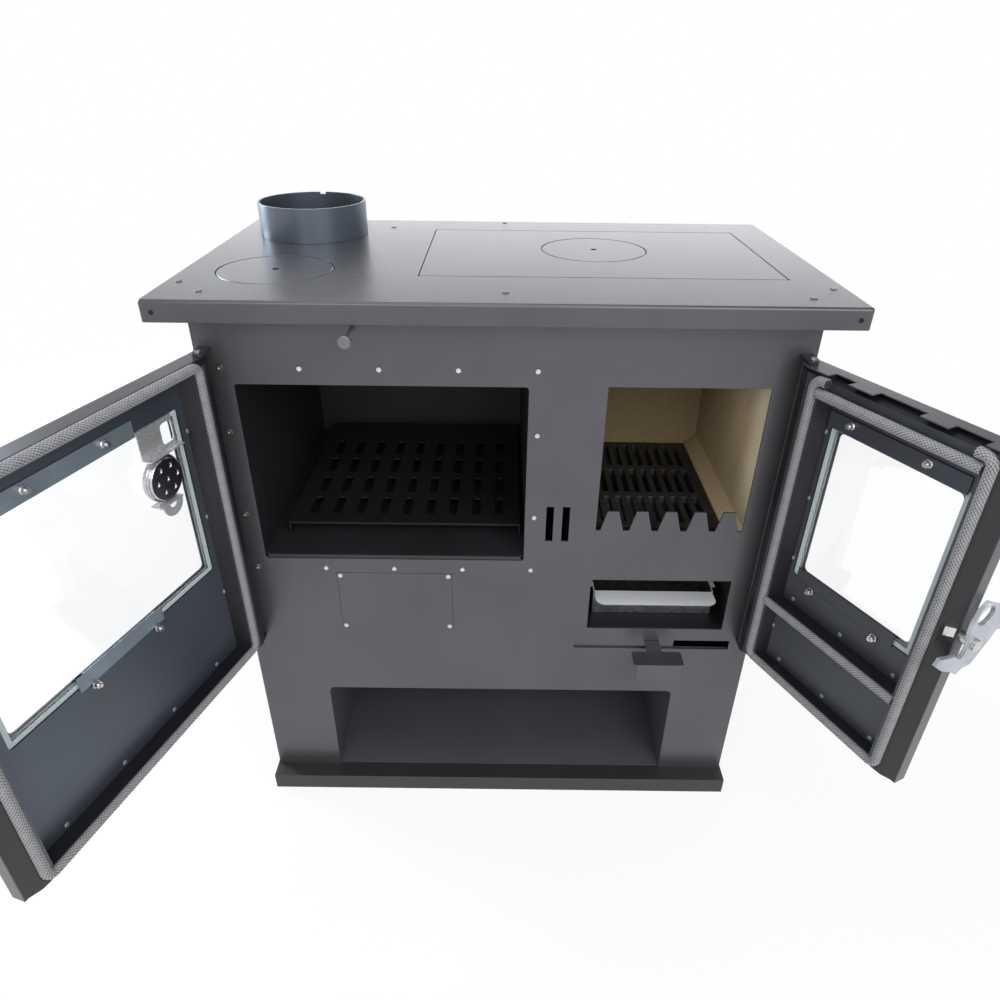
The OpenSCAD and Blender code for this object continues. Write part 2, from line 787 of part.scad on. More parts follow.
// Plate over the oven, with the direct port under the flue collar
module flue_baffle() {
    color(iron) difference() {
        slab([-side_x + panel_t, front_y + collar_y - 88, baffle_z],
            [damper_x + 20, back_y - panel_t, baffle_z + baffle_t]);
        translate([collar_x, front_y + collar_y, baffle_z - 1]) cylinder(r = port_r, h = baffle_t + 2);
    }
}

module damper_plate() {
    reach = port_r + 12;
    color(iron) slab([collar_x - port_r - 8, front_y + collar_y - reach, damper_plate_z],
        [damper_x + 8, front_y + collar_y + reach, damper_plate_z + damper_t]);
}

module damper_rod() {
    color(steel) translate([damper_x, front_y + collar_y + port_r, damper_z]) rotate([90, 0, 0])
        cylinder(r = damper_rod_r, h = collar_y + port_r + damper_reach - 3, $fn = 32);
}

knob_neck = 4;
knob_l = 14;

module damper_knob() {
    color(iron) translate([damper_x, front_y - damper_reach, damper_z]) rotate([-90, 0, 0])
        difference() {
            rotate_extrude() polygon([[0, 0], [damper_knob_r - 1.5, 0], [damper_knob_r, 1.5],
                [damper_knob_r, 7], [knob_neck, knob_l - 1], [knob_neck, knob_l], [0, knob_l]]);
            translate([0, 0, 3]) cylinder(r = damper_rod_r, h = knob_l, $fn = 32);
        }
}

// Cooking top

module top_plate() {
    x0 = insert_x - insert_w / 2 - lid_gap;
    x1 = insert_x + insert_w / 2 + lid_gap;
    y0 = front_y + insert_y - insert_d / 2 - lid_gap;
    y1 = front_y + insert_y + insert_d / 2 + lid_gap;
    ledge = 10;
    ledge_t = 3.5;
    side_ledge = 5;
    seat = insert_z - seat_gap;
    side_y = front_y + side_lid_y;
    flange_hole_x = top_x - 13.2;
    flange_hole_z = top_h - 13.2;
    color(paint) difference() {
        union() {
            translate([0, 0, plate_z]) linear_extrude(top_t)
                round_rect([-top_x, top_y0], [top_x, top_y1], 5);
            difference() {
                translate([0, 0, rim_z]) linear_extrude(rim_h - eps)
                    round_rect([-top_x, top_y0], [top_x, top_y1], 5);
                slab([-top_x + rim_t, top_y0 + rim_t, rim_z - 1], [top_x - rim_t, top_y1 - rim_t, plate_z + eps]);
            }
            slab([x0 - ledge, y0 - ledge, seat - ledge_t], [x1 + ledge, y1 + ledge, plate_z + eps]);
            translate([side_lid_x, side_y, plate_z - ledge_t])
                cylinder(r = side_lid_r + side_ledge, h = ledge_t + eps, $fn = 96);
        }
        slab([x0, y0, seat], [x1, y1, top_h + 1]);
        slab([x0 + ledge, y0 + ledge, seat - ledge_t - 1], [x1 - ledge, y1 - ledge, seat + 1]);
        translate([side_lid_x, side_y, plate_z - seat_gap])
            cylinder(r = side_lid_r + lid_gap, h = top_t + 2, $fn = 96);
        translate([side_lid_x, side_y, plate_z - ledge_t - 1])
            cylinder(r = side_lid_r - lid_step + lid_gap, h = ledge_t + 3, $fn = 96);
        translate([collar_x, front_y + collar_y, plate_z - 1])
            cylinder(r = collar_r - collar_step, h = top_t + 2, $fn = 96);
        for (s = [-1, 1])
            translate([s * flange_hole_x, top_y0 + rim_t + 1, flange_hole_z]) rotate([90, 0, 0])
                cylinder(r = 2.9, h = rim_t + 2, $fn = 32);
    }
}

// Lift-out cast plate with the seat of the round lid
module top_insert() {
    color(iron) difference() {
        translate([insert_x - insert_w / 2, front_y + insert_y - insert_d / 2, insert_z])
            linear_extrude(insert_t) round_rect([0, 0], [insert_w, insert_d], 3);
        translate([insert_x + 3, front_y + lid_y, step_z - seat_gap])
            cylinder(r = lid_r + lid_gap, h = insert_t, $fn = 96);
        translate([insert_x + 3, front_y + lid_y, insert_z - 1])
            cylinder(r = lid_r - lid_step + lid_gap, h = insert_t + 2, $fn = 96);
    }
}

// A round lid that hangs on a step, with a small lifting hole in its middle
module stepped_lid(r, flange_t, plug_t) {
    hole_r = 4;
    color(iron) rotate_extrude($fn = 96) polygon([[0, -plug_t], [r - lid_step, -plug_t], [r - lid_step, 0],
        [r, 0], [r, flange_t - 0.8], [r - 0.8, flange_t], [hole_r, flange_t], [hole_r, flange_t - 3],
        [0, flange_t - 3]]);
}

module round_lid() {
    translate([insert_x + 3, front_y + lid_y, step_z]) stepped_lid(lid_r, insert_t / 2, insert_t / 2);
}

module side_lid() {
    translate([side_lid_x, front_y + side_lid_y, plate_z]) stepped_lid(side_lid_r, top_t, 3);
}

collar_step = 3;

// Round spigot for the flue pipe. Its neck is narrower where it passes through the top sheet,
// and a ring holds it from below.
module flue_collar() {
    ring_w = 12;
    ring_t = 3;
    notch_w = 8;
    neck_r = collar_r - collar_step;
    color(dark_paint) translate([collar_x, front_y + collar_y, 0]) difference() {
        union() {
            translate([0, 0, top_h]) cylinder(r = collar_r, h = collar_h, $fn = 96);
            translate([0, 0, plate_z - ring_t])
                cylinder(r = neck_r, h = top_t + ring_t + eps, $fn = 96);
            difference() {
                translate([0, 0, plate_z - ring_t]) cylinder(r = collar_r + ring_w, h = ring_t, $fn = 96);
                slab([-collar_r - ring_w - 1, -collar_r - ring_w, plate_z - ring_t - 1],
                    [-side_x + panel_t + seat_gap - collar_x, collar_r + ring_w, plate_z + 1]);
            }
        }
        translate([0, 0, plate_z - ring_t - 1])
            cylinder(r = neck_r - collar_t, h = top_t + ring_t + collar_h + 2, $fn = 96);
        translate([0, 0, top_h + collar_t]) cylinder(r = collar_r - collar_t, h = collar_h, $fn = 96);
        translate([-notch_w / 2, collar_r - collar_t - 2, top_h + collar_h - 3]) cube([notch_w, collar_t + 4, 4]);
    }
}

// Heads of the plug rivets in the top sheet, placed from the front and back panels
module top_rivets() {
    front_places = [[16.8 - top_x, 41], [53 - top_x, 2.2], [-172.8, 79], [-0.6, 10],
        [top_x - 53.9, 0], [top_x - 17.5, 40]];
    back_places = [[-168.6, -45], [-1.8, -3]];
    places = concat([for (p = front_places) [p[0], front_y + p[1]]],
        [for (p = back_places) [p[0], back_y + p[1]]]);
    color(steel)
        for (p = places)
            translate([p[0], p[1], top_h]) cylinder(r1 = 4.2, r2 = 3.4, h = 0.8, $fn = 32);
}

// Doors. A door is drawn shut in its own frame: X runs from its hinge end, Y from the
// sealing plane to the outside and Z from the floor. It is then set in place and turned open.

module oven_door_place() {
    translate([-(side_x - pin_u), front_y - pin_w, 0]) rotate([0, 0, -oven_open])
        translate([-pin_u, pin_w, 0]) mirror([0, 1, 0]) children();
}

module fire_door_place() {
    translate([side_x - pin_u, front_y - pin_w, 0]) rotate([0, 0, fire_open])
        translate([pin_u, pin_w, 0]) rotate([0, 0, 180]) children();
}

// Solid of a door's inner side: chamfered towards the sealing plane on all four sides
module chamfered(l, inset, w0, w1, top_z) {
    knee = knee_w + w0 - face_w;
    side = [[inset, w1], [inset, chamfer_w], [knee_u + inset, knee], [chamfer_u + inset, w0],
        [l - chamfer_u - inset, w0], [l - knee_u - inset, knee], [l - inset, chamfer_w], [l - inset, w1]];
    intersection() {
        translate([0, 0, door_z0 + inset]) linear_extrude(top_z - door_z0 - inset) polygon(side);
        crosswise(0, l) polygon([[w1, door_z0 + inset], [chamfer_w, door_z0 + inset],
            [w0, door_z0 + 6 + inset], [w0, top_z - 4], [11, top_z], [w1, top_z]]);
    }
}

// Groove for a rope that runs round a rectangle, grown by g on all sides
module rope_groove(u0, u1, z0, z1, g) {
    half = rope_r + rope_fit + g;
    upright(-1, groove_w + g) difference() {
        round_rect([u0 - half, z0 - half], [u1 + half, z1 + half], rope_bend + half);
        round_rect([u0 + half, z0 + half], [u1 - half, z1 - half], rope_bend - half);
    }
}

// Recess in a door's inner side, its two upright walls leaning, grown by g on all sides
module pocket(u0, u1, z0, z1, depth, g) {
    intersection() {
        translate([0, 0, z0 - g]) linear_extrude(z1 - z0 + 2 * g)
            polygon([[u0 - g - pocket_slope * 0.2, -1], [u0 + pocket_slope - g, depth + g],
                [u1 - pocket_slope + g, depth + g], [u1 + g + pocket_slope * 0.2, -1]]);
        slab([-5, -1, z0 - g], [u1 + 20, depth + g, z1 + g]);
    }
}

// Rope ring round the rectangle of its middle line
module rope_ring(u0, u1, z0, z1) {
    color(rope_grey) translate([0, rope_w, 0]) {
        for (z = [z0, z1])
            translate([u0 + rope_bend, 0, z]) rotate([0, 90, 0])
                cylinder(r = rope_r, h = u1 - u0 - 2 * rope_bend, $fn = 32);
        for (u = [u0, u1])
            translate([u, 0, z0 + rope_bend]) cylinder(r = rope_r, h = z1 - z0 - 2 * rope_bend, $fn = 32);
        for (c = [[u0 + rope_bend, z0 + rope_bend, 180], [u1 - rope_bend, z0 + rope_bend, 270],
            [u1 - rope_bend, z1 - rope_bend, 0], [u0 + rope_bend, z1 - rope_bend, 90]])
            translate([c[0], 0, c[1]]) rotate([90, 0, 0]) rotate([0, 0, c[2]])
                rope_corner(rope_bend, rope_r);
    }
}

// Outer skin of a door: a shallow tray with a window
module door_skin(l, top_w, g0, g1, gz0, gz1, lap) {
    difference() {
        slab([0, chamfer_w, door_z0], [l, door_t, door_z1]);
        slab([skin_t, chamfer_w - 1, door_z0 + skin_t], [l - skin_t, skin_in, door_z1 - skin_t]);
        upright(skin_in - 1, door_t + 1) round_rect([g0 + lap, gz0 + lap], [g1 - lap, gz1 - lap], 6);
        for (z = [door_z0 - 1, door_z1 - skin_t - 1])
            translate([pin_u, pin_w, z]) cylinder(r = pin_r, h = skin_t + 2, $fn = 32);
        translate([l - skin_t - 1, latch_w, latch_z]) rotate([0, 90, 0])
            cylinder(r = latch_r, h = skin_t + 2, $fn = 32);
    }
    difference() {
        translate([0, 0, door_z1 - skin_t]) linear_extrude(skin_t)
            polygon([[0, chamfer_w + eps], [knee_u, max(knee_w, top_w)], [chamfer_u, top_w],
                [l - chamfer_u, top_w], [l - knee_u, max(knee_w, top_w)], [l, chamfer_w + eps]]);
        translate([pin_u, pin_w, door_z1 - skin_t - 1]) cylinder(r = pin_r, h = skin_t + 2, $fn = 32);
    }
}

// The clear glass pane
module pane(u0, u1, z0, z1) {
    color([0.75, 0.8, 0.82, 0.4]) slab([u0 + glass_inset, glass_w, z0 + glass_inset],
        [u1 - glass_inset, glass_w + glass_t, z1 - glass_inset]);
}

// Tape folded round the edge of the glass
module pane_tape(u0, u1, z0, z1) {
    color(white) difference() {
        slab([u0 + tape_inset, glass_w - tape_t, z0 + tape_inset],
            [u1 - tape_inset, skin_in, z1 - tape_inset]);
        slab([u0 + tape_w, glass_w - 2, z0 + tape_w], [u1 - tape_w, skin_in + 1, z1 - tape_w]);
        slab([u0 + glass_inset, glass_w, z0 + glass_inset],
            [u1 - glass_inset, glass_w + glass_t, z1 - glass_inset]);
    }
}

strip_t = 1.5;

bolt_r = 2;
nut_af = 7;
nut_h = 4;
washer_r = 4.6;
washer_lap = 1.5;

// Hole for a clamp bolt through strip and panel
module bolt_hole(u, z) {
    translate([u, panel_w - 4, z]) rotate([-90, 0, 0]) cylinder(r = bolt_r + 0.1, h = 8, $fn = 24);
}

// Clamp strip on the inner panel, with a lip that holds the glass
module clamp_strip(u0, u1, z_panel, z_glass, bolts, bolt_z) {
    z0 = min(z_panel, z_glass);
    z1 = max(z_panel, z_glass);
    lip = z_glass > z_panel ? z_glass - strip_t : z_glass;
    lip_inset = 9;
    color(steel) difference() {
        union() {
            slab([u0, panel_w - strip_t, z0], [u1, panel_w, z1]);
            slab([u0 + lip_inset, panel_w - strip_t, lip], [u1 - lip_inset, glass_w - tape_t, lip + strip_t]);
        }
        for (u = bolts)
            bolt_hole(u, bolt_z);
    }
}

// Bolt through the inner panel, with its washer and nut on the inside
module clamp_bolt(u, z) {
    y = panel_w - strip_t;
    color(zinc) translate([u, y, z]) rotate([90, 0, 0]) {
        cylinder(r = washer_r, h = 1, $fn = 32);
        cylinder(r = nut_af / sqrt(3), h = nut_h + 1, $fn = 6);
        cylinder(r = bolt_r, h = nut_h + 4, $fn = 24);
    }
    color(zinc) translate([u, y, z]) rotate([-90, 0, 0])
        cylinder(r = bolt_r, h = strip_t + skin_t + 1, $fn = 24);
}

// Pins of both ends of a door, each with the boss that carries it inside the skin
module door_pins() {
    boss_r = 5.5;
    boss_l = 20;
    reach = lug_gap + lug_t + 2.5;
    color(steel)
        for (end = [[door_z1, 1], [door_z0, -1]])
            translate([pin_u, pin_w, end[0]]) mirror([0, 0, end[1] < 0 ? 1 : 0]) {
                translate([0, 0, -boss_l - skin_t]) cylinder(r = boss_r, h = boss_l, $fn = 32);
                translate([0, 0, -boss_l]) cylinder(r = pin_r, h = boss_l + reach, $fn = 32);
            }
}

pivot_nut_r = 5.4;

// Room in a door's inner frame for the pin bosses and the latch pivot's nut
module frame_wells(l) {
    for (z = [door_z0, door_z1 - 24])
        translate([pin_u, pin_w, z]) cylinder(r = 5.6, h = 24, $fn = 32);
    translate([l - 10, latch_w, latch_z]) rotate([0, 90, 0])
        cylinder(r = pivot_nut_r + 0.4, h = 10, $fn = 32);
}

// Pivot of a latch lever: nut inside the door, spacer, shank, round head and the lever's stop
module latch_pivot(l, lever_u) {
    color(zinc) translate([0, latch_w, latch_z]) rotate([0, 90, 0]) {
        translate([0, 0, l - skin_t - 5]) cylinder(r = pivot_nut_r, h = 5, $fn = 6);
        translate([0, 0, l - skin_t - 6])
            cylinder(r = latch_r, h = lever_u + latch_t + 1 - l + skin_t + 6, $fn = 32);
        translate([0, 0, l]) cylinder(r = 6, h = lever_u - seat_gap - l, $fn = 32);
        translate([0, 0, lever_u + latch_t + seat_gap]) cylinder(r = 6.5, h = 3.5, $fn = 32);
    }
    color(zinc) translate([l - skin_t - knee_u / 2, (knee_w + chamfer_w) / 2, latch_z + 9])
        rotate([0, 0, atan2(chamfer_w - knee_w, knee_u)]) slab([-5, -4.1, -5.5], [5, -0.1, 5.5]);
}

// Lever cut from plate: a nose that enters the slot, a pivot eye and a flat handle.
// Its points are given from the pivot's height and from the sealing plane.
module latch_lever(lever_u) {
    fall = 25.6;
    handle_top = [27.1, 52];
    along = [cos(fall), -sin(fall)];
    across = [-sin(fall), -cos(fall)];
    run = (handle_reach - handle_w / 2 - handle_top[0]) / cos(fall);
    cap = handle_top + along * run + across * handle_w / 2;
    hole = [29.5, 35];
    color(steel) translate([lever_u, 0, latch_z]) difference() {
        union() {
            crosswise(0, latch_t) polygon([[-nose_reach, -11], [4 - nose_reach, -3.4], [5, -8.5],
                [17, -16], [20, -9], [20, 6], [15, 16], [14, 30], [18, 45], handle_top,
                cap - across * handle_w / 2, cap + across * handle_w / 2, [59.4, 8], [52.7, -5.4],
                [38, -30.5], [26.3, -31], [18.8, -37.4], [6.8, -29], [13 - nose_reach, -21.4]]);
            translate([0, cap[0], cap[1]]) rotate([0, 90, 0]) cylinder(r = handle_w / 2, h = latch_t);
        }
        translate([-1, hole[0], hole[1]]) rotate([0, 90, 0]) cylinder(r = 11.5, h = latch_t + 2);
        translate([-1, latch_w, 0]) rotate([0, 90, 0]) cylinder(r = latch_r + run_gap, h = latch_t + 2);
    }
}

// Oven door

oven_rope_u1 = oven_door_w - rope_free_oven;
oven_rope_z0 = door_z0 + rope_low;
oven_rope_z1 = door_z1 - rope_top_oven;

// Everything cut out of the oven door's inner frame, grown by g
module oven_frame_cuts(g) {
    edge = rope_r + 1.5;
    rope_groove(rope_hinge, oven_rope_u1, oven_rope_z0, oven_rope_z1, g);
    pocket(pocket_u, oven_rope_u1 - edge, oven_rope_z0 + edge, oven_rope_z1 - edge, panel_w, g);
}

module oven_door_frame() {
    top = door_z1 - skin_t;
    color(dark_paint) oven_door_place() difference() {
        chamfered(oven_door_w, skin_t, face_w, skin_in - 1, top);
        oven_frame_cuts(0);
        difference() {
            chamfered(oven_door_w, 2 * skin_t, face_w + skin_t, skin_in, top - skin_t);
            oven_frame_cuts(skin_t);
        }
        upright(panel_w - 1, skin_in + 1) round_rect([oven_glass_u0, glass_z0],
            [oven_glass_u1, oven_glass_z1], 4);
        for (u = oven_top_bolts)
            bolt_hole(u, oven_top_bolt_z);
        for (u = oven_low_bolts)
            bolt_hole(u, oven_low_bolt_z);
        frame_wells(oven_door_w);
    }
}

module oven_door_skin() {
    color(paint) oven_door_place()
        door_skin(oven_door_w, groove_w + seat_gap, oven_glass_u0, oven_glass_u1, glass_z0, oven_glass_z1, 9);
}

module oven_door_rope() {
    oven_door_place() rope_ring(rope_hinge, oven_rope_u1, oven_rope_z0, oven_rope_z1);
}

module oven_door_glass() {
    oven_door_place() pane(oven_glass_u0, oven_glass_u1, glass_z0, oven_glass_z1);
}

module oven_door_tape() {
    oven_door_place() pane_tape(oven_glass_u0, oven_glass_u1, glass_z0, oven_glass_z1);
}

oven_top_bolts = [oven_glass_u0 + 105.6, oven_glass_u1 - 98.7];
oven_low_bolts = [oven_glass_u0 + 105.5, oven_glass_u1 - 99.6];
oven_top_bolt_z = oven_glass_z1 + 7;
oven_low_bolt_z = glass_z0 - 8;

module oven_door_clamps() {
    oven_door_place() {
        clamp_strip(oven_top_bolts[0] - 39.8, oven_top_bolts[1] + 32.6, oven_glass_z1 + 14.7,
            oven_glass_z1 - 4.3, oven_top_bolts, oven_top_bolt_z);
        clamp_strip(oven_low_bolts[0] - 12.7, oven_low_bolts[1] + 17.5,
            oven_low_bolt_z + washer_r - washer_lap, glass_z0 + 13, oven_low_bolts, oven_low_bolt_z);
    }
}

module oven_door_bolts() {
    oven_door_place() {
        for (u = oven_top_bolts)
            clamp_bolt(u, oven_top_bolt_z);
        for (u = oven_low_bolts)
            clamp_bolt(u, oven_low_bolt_z);
    }
}

module oven_door_pins() {
    oven_door_place() door_pins();
}

dial_u = oven_glass_u0 + 47.5;
dial_z = oven_glass_z1 - 61.3;
dial_r = 26;
dial_w0 = 13.5;
dial_w1 = 23;

// Oven thermometer: a stepped can whose dial faces out through the glass
module thermometer() {
    can_h = dial_w1 - dial_w0;
    hole_r = 3.2;
    hole_ring = 15;
    color(iron) oven_door_place() translate([dial_u, dial_w0, dial_z]) rotate([-90, 0, 0])
        difference() {
            rotate_extrude($fn = 64) polygon([[0, 0], [dial_r - 3, 0], [dial_r - 2, 1], [dial_r - 2, 3],
                [dial_r - 0.8, 3], [dial_r - 0.8, 5.5], [dial_r, 5.5], [dial_r, can_h],
                [dial_r - 2, can_h], [dial_r - 2, can_h - 1], [0, can_h - 1]]);
            translate([0, 0, -1]) cylinder(r = hole_r, h = 2, $fn = 24);
            for (a = [0:60:300])
                rotate([0, 0, a]) translate([hole_ring, 0, -1]) cylinder(r = hole_r, h = 2, $fn = 24);
        }
}

// Angle that stands against the glass tape and carries the thermometer in an open clip,
// with a shelf and a rounded tongue under it
module thermometer_bracket() {
    u0 = dial_u - 36.7;
    u1 = dial_u + 15.8;
    z0 = dial_z + dial_r;
    z1 = oven_glass_z1 - 1;
    low = dial_z - dial_r;
    t = 1.5;
    w1 = glass_w - tape_t - seat_gap;
    slot_u = [u0 + 2, u0 + 19];
    clip_r = dial_r + t;
    clip_w = dial_w0 + 6;
    clip_l = 3.2;
    tongue_r = 15;
    color(steel) oven_door_place() {
        difference() {
            slab([u0, w1 - t, z0], [u1, w1, z1]);
            upright(w1 - t - 1, w1 + 1) round_rect([slot_u[0], z0 + 4], [slot_u[1], z1 - 6], 5);
        }
        slab([u0, dial_w0, z0], [u1, w1, z0 + t]);
        translate([dial_u, clip_w, dial_z]) rotate([-90, 0, 0]) difference() {
            cylinder(r = clip_r, h = clip_l, $fn = 64);
            translate([0, 0, -1]) cylinder(r = dial_r + run_gap, h = clip_l + 2, $fn = 64);
            translate([clip_r * 0.35, -clip_r - 1, -1]) cube([clip_r, 2 * clip_r + 2, clip_l + 2]);
        }
        slab([dial_u - 14, dial_w0 - 3, low - t], [dial_u + 20, w1, low - run_gap]);
        upright(dial_w0 - 3, dial_w0 - 3 + t) translate([dial_u + 3, low - t]) difference() {
            circle(tongue_r, $fn = 64);
            circle(tongue_r / 3, $fn = 32);
            translate([-tongue_r - 1, eps]) square([2 * tongue_r + 2, tongue_r + 1]);
        }
    }
}

module oven_latch_pivot() {
    oven_door_place() latch_pivot(oven_door_w, oven_lever_u);
}

module oven_latch_lever() {
    oven_door_place() latch_lever(oven_lever_u);
}

// Fire door

fire_rope_u1 = fire_door_w - rope_free_fire;
fire_rope_z0 = door_z0 + rope_low;
fire_rope_top = door_z1 - rope_top_fire;

wash_z0 = rope_up_z + rope_r + 6;
wash_u0 = rope_hinge + 15.4;
wash_u1 = fire_rope_u1 - 11.7;

// Everything cut out of the fire door's inner frame, grown by g
module fire_frame_cuts(g) {
    edge = rope_r + 1.5;
    half = rope_r + rope_fit + g;
    u0 = rope_hinge;
    u1 = fire_rope_u1;
    upright(-1, groove_w + g) difference() {
        round_rect([u0 - half, fire_rope_z0 - half], [u1 + half, door_z1 - skin_t - 1 + g],
            rope_bend + half);
        round_rect([u0 + half, fire_rope_z0 + half], [u1 - half, rope_mid_z - half],
            rope_bend - half);
        round_rect([u0 + half, rope_mid_z + half], [u1 - half, rope_up_z - half], 3);
    }
    pocket(pocket_u, u1 - edge, fire_rope_z0 + edge, rope_mid_z - edge, panel_w - 4, g);
    pocket(pocket_u, u1 - edge, rope_mid_z + edge, rope_up_z - edge, panel_w, g);
    crosswise(wash_u0 - g, wash_u1 + g) polygon([[-1, wash_z0 - g], [face_w + 1, wash_z0 - g],
        [skin_in - 3, door_z1 - skin_t - 1 - g], [skin_in - 3, door_z1 + 1], [-1, door_z1 + 1]]);
}

module fire_door_frame() {
    top = door_z1 - skin_t;
    color(dark_paint) fire_door_place() difference() {
        chamfered(fire_door_w, skin_t, face_w, skin_in - 1, top);
        fire_frame_cuts(0);
        difference() {
            chamfered(fire_door_w, 2 * skin_t, face_w + skin_t, skin_in, top - skin_t);
            fire_frame_cuts(skin_t);
        }
        upright(panel_w - 1, skin_in + 1) round_rect([fire_glass_u0, glass_z0],
            [fire_glass_u1, fire_glass_z1], 4);
        for (u = fire_top_bolts)
            bolt_hole(u, fire_top_bolt_z);
        for (u = fire_low_bolts)
            bolt_hole(u, fire_low_bolt_z);
        frame_wells(fire_door_w);
    }
}

// Skin of the fire door, with the air inlets cut out of its top edge
module fire_door_skin() {
    inlets = [[wash_u0, wash_u0 + 27.1], [wash_u0 + 57.8, wash_u1 - 67.2], [wash_u1 - 36.5, wash_u1]];
    color(paint) fire_door_place() difference() {
        door_skin(fire_door_w, 6, fire_glass_u0, fire_glass_u1, glass_z0, fire_glass_z1, 9);
        for (p = inlets)
            slab([p[0], -1, door_z1 - skin_t - 1], [p[1], chamfer_w, door_z1 + 1]);
    }
}

// Rope down both sides and along the bottom, its two ends turned in under the top edge
module fire_door_rope() {
    u0 = rope_hinge;
    u1 = fire_rope_u1;
    z0 = fire_rope_z0;
    z1 = fire_rope_top;
    end_l = 8;
    color(rope_grey) fire_door_place() translate([0, rope_w, 0]) {
        translate([u0 + rope_bend, 0, z0]) rotate([0, 90, 0])
            cylinder(r = rope_r, h = u1 - u0 - 2 * rope_bend, $fn = 32);
        for (u = [u0, u1])
            translate([u, 0, z0 + rope_bend])
                cylinder(r = rope_r, h = z1 - z0 - 2 * rope_bend, $fn = 32);
        for (c = [[u0 + rope_bend, z0 + rope_bend, 180], [u1 - rope_bend, z0 + rope_bend, 270],
            [u1 - rope_bend, z1 - rope_bend, 0], [u0 + rope_bend, z1 - rope_bend, 90]])
            translate([c[0], 0, c[1]]) rotate([90, 0, 0]) rotate([0, 0, c[2]])
                rope_corner(rope_bend, rope_r);
        for (u = [u0 + rope_bend, u1 - rope_bend - end_l])
            translate([u, 0, z1]) rotate([0, 90, 0]) cylinder(r = rope_r, h = end_l, $fn = 32);
    }
}

// The two ropes that cross the fire door between its side ropes
module fire_door_cross_rope() {
    u0 = rope_hinge + rope_r + seat_gap;
    u1 = fire_rope_u1 - rope_r - seat_gap;
    bend_room = 0.5;
    color(rope_grey) fire_door_place()
        for (c = [[rope_mid_z, 0], [rope_up_z, bend_room]])
            translate([u0 + c[1], rope_w, c[0]]) rotate([0, 90, 0])
                cylinder(r = rope_r, h = u1 - u0 - 2 * c[1], $fn = 32);
}

module fire_door_glass() {
    fire_door_place() pane(fire_glass_u0, fire_glass_u1, glass_z0, fire_glass_z1);
}

module fire_door_tape() {
    fire_door_place() pane_tape(fire_glass_u0, fire_glass_u1, glass_z0, fire_glass_z1);
}

fire_top_bolts = [fire_glass_u0 + 25.7, fire_glass_u1 - 48.2];
fire_low_bolts = [fire_glass_u0 + 32.6, fire_glass_u1 - 42.9];
fire_top_bolt_z = fire_glass_z1 + 8;
fire_low_bolt_z = glass_z0 - 6;

module fire_door_clamps() {
    fire_door_place() {
        clamp_strip(fire_top_bolts[0] - 30.2, fire_top_bolts[1] + 44.8, fire_glass_z1 + 15,
            fire_glass_z1 - 4.2, fire_top_bolts, fire_top_bolt_z);
        clamp_strip(fire_low_bolts[0] - 24.6, fire_low_bolts[1] + 22.5,
            fire_low_bolt_z + washer_r - washer_lap, glass_z0 + 14, fire_low_bolts, fire_low_bolt_z);
    }
}

module fire_door_bolts() {
    fire_door_place() {
        for (u = fire_top_bolts)
            clamp_bolt(u, fire_top_bolt_z);
        for (u = fire_low_bolts)
            clamp_bolt(u, fire_low_bolt_z);
    }
}

module fire_door_pins() {
    fire_door_place() door_pins();
}

module fire_latch_pivot() {
    fire_door_place() latch_pivot(fire_door_w, fire_lever_u);
}

module fire_latch_lever() {
    fire_door_place() latch_lever(fire_lever_u);
}

plinth();
base_panel();
front_panel();
left_panel();
right_panel();
back_panel();
niche_liner();
oven_box();
oven_tray();
front_rivets();
soot_cover();
soot_rivets();
hinge_lugs();
firebox_shell();
brick_left();
brick_right();
brick_back();
grate();
ash_box();
ash_pan();
air_shutter();
air_rails();
flue_baffle();
damper_plate();
damper_rod();
damper_knob();
top_plate();
top_insert();
round_lid();
side_lid();
flue_collar();
top_rivets();
oven_door_skin();
oven_door_frame();
oven_door_rope();
oven_door_glass();
oven_door_tape();
oven_door_clamps();
oven_door_bolts();
oven_door_pins();
thermometer();
thermometer_bracket();
oven_latch_pivot();
oven_latch_lever();
fire_door_skin();
fire_door_frame();
fire_door_rope();
fire_door_cross_rope();
fire_door_glass();
fire_door_tape();
fire_door_clamps();
fire_door_bolts();
fire_door_pins();
fire_latch_pivot();
fire_latch_lever();
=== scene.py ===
import json
import math

import bmesh
import bpy
from mathutils import Matrix, Vector


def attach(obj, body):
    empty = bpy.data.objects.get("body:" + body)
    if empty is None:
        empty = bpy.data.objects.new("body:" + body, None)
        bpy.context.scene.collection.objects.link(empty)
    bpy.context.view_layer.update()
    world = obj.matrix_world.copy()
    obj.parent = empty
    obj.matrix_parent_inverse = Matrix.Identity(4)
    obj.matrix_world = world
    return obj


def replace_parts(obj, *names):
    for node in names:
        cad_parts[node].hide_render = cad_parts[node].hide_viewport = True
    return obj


# The stove's look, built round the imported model. Metres, the origin on the floor under the body.

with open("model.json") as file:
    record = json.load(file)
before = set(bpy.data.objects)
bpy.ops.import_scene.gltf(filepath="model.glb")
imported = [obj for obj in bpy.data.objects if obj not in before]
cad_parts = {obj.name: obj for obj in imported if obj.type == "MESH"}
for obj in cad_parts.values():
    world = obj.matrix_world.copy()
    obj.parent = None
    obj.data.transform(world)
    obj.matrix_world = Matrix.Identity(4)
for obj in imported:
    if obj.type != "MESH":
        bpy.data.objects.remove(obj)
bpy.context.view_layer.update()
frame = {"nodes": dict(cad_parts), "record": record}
NODES = frame["nodes"]
BODY_OF = {n: b for b, ns in frame["record"]["behaviour"]["bodies"].items() for n in ns}
SLOT_OF = {s["node"]: s["material_slot"] for s in frame["record"]["subparts"]}

# Camera
CAMERA_AT = Vector((-0.0041, -1.0087, 1.0127))
CAMERA_DOWN = math.radians(31.015)
CAMERA_ROLL = math.radians(0.668)
CAMERA_LENS = 26.68
CAMERA_CLIP = 0.01
SENSOR = 36.0

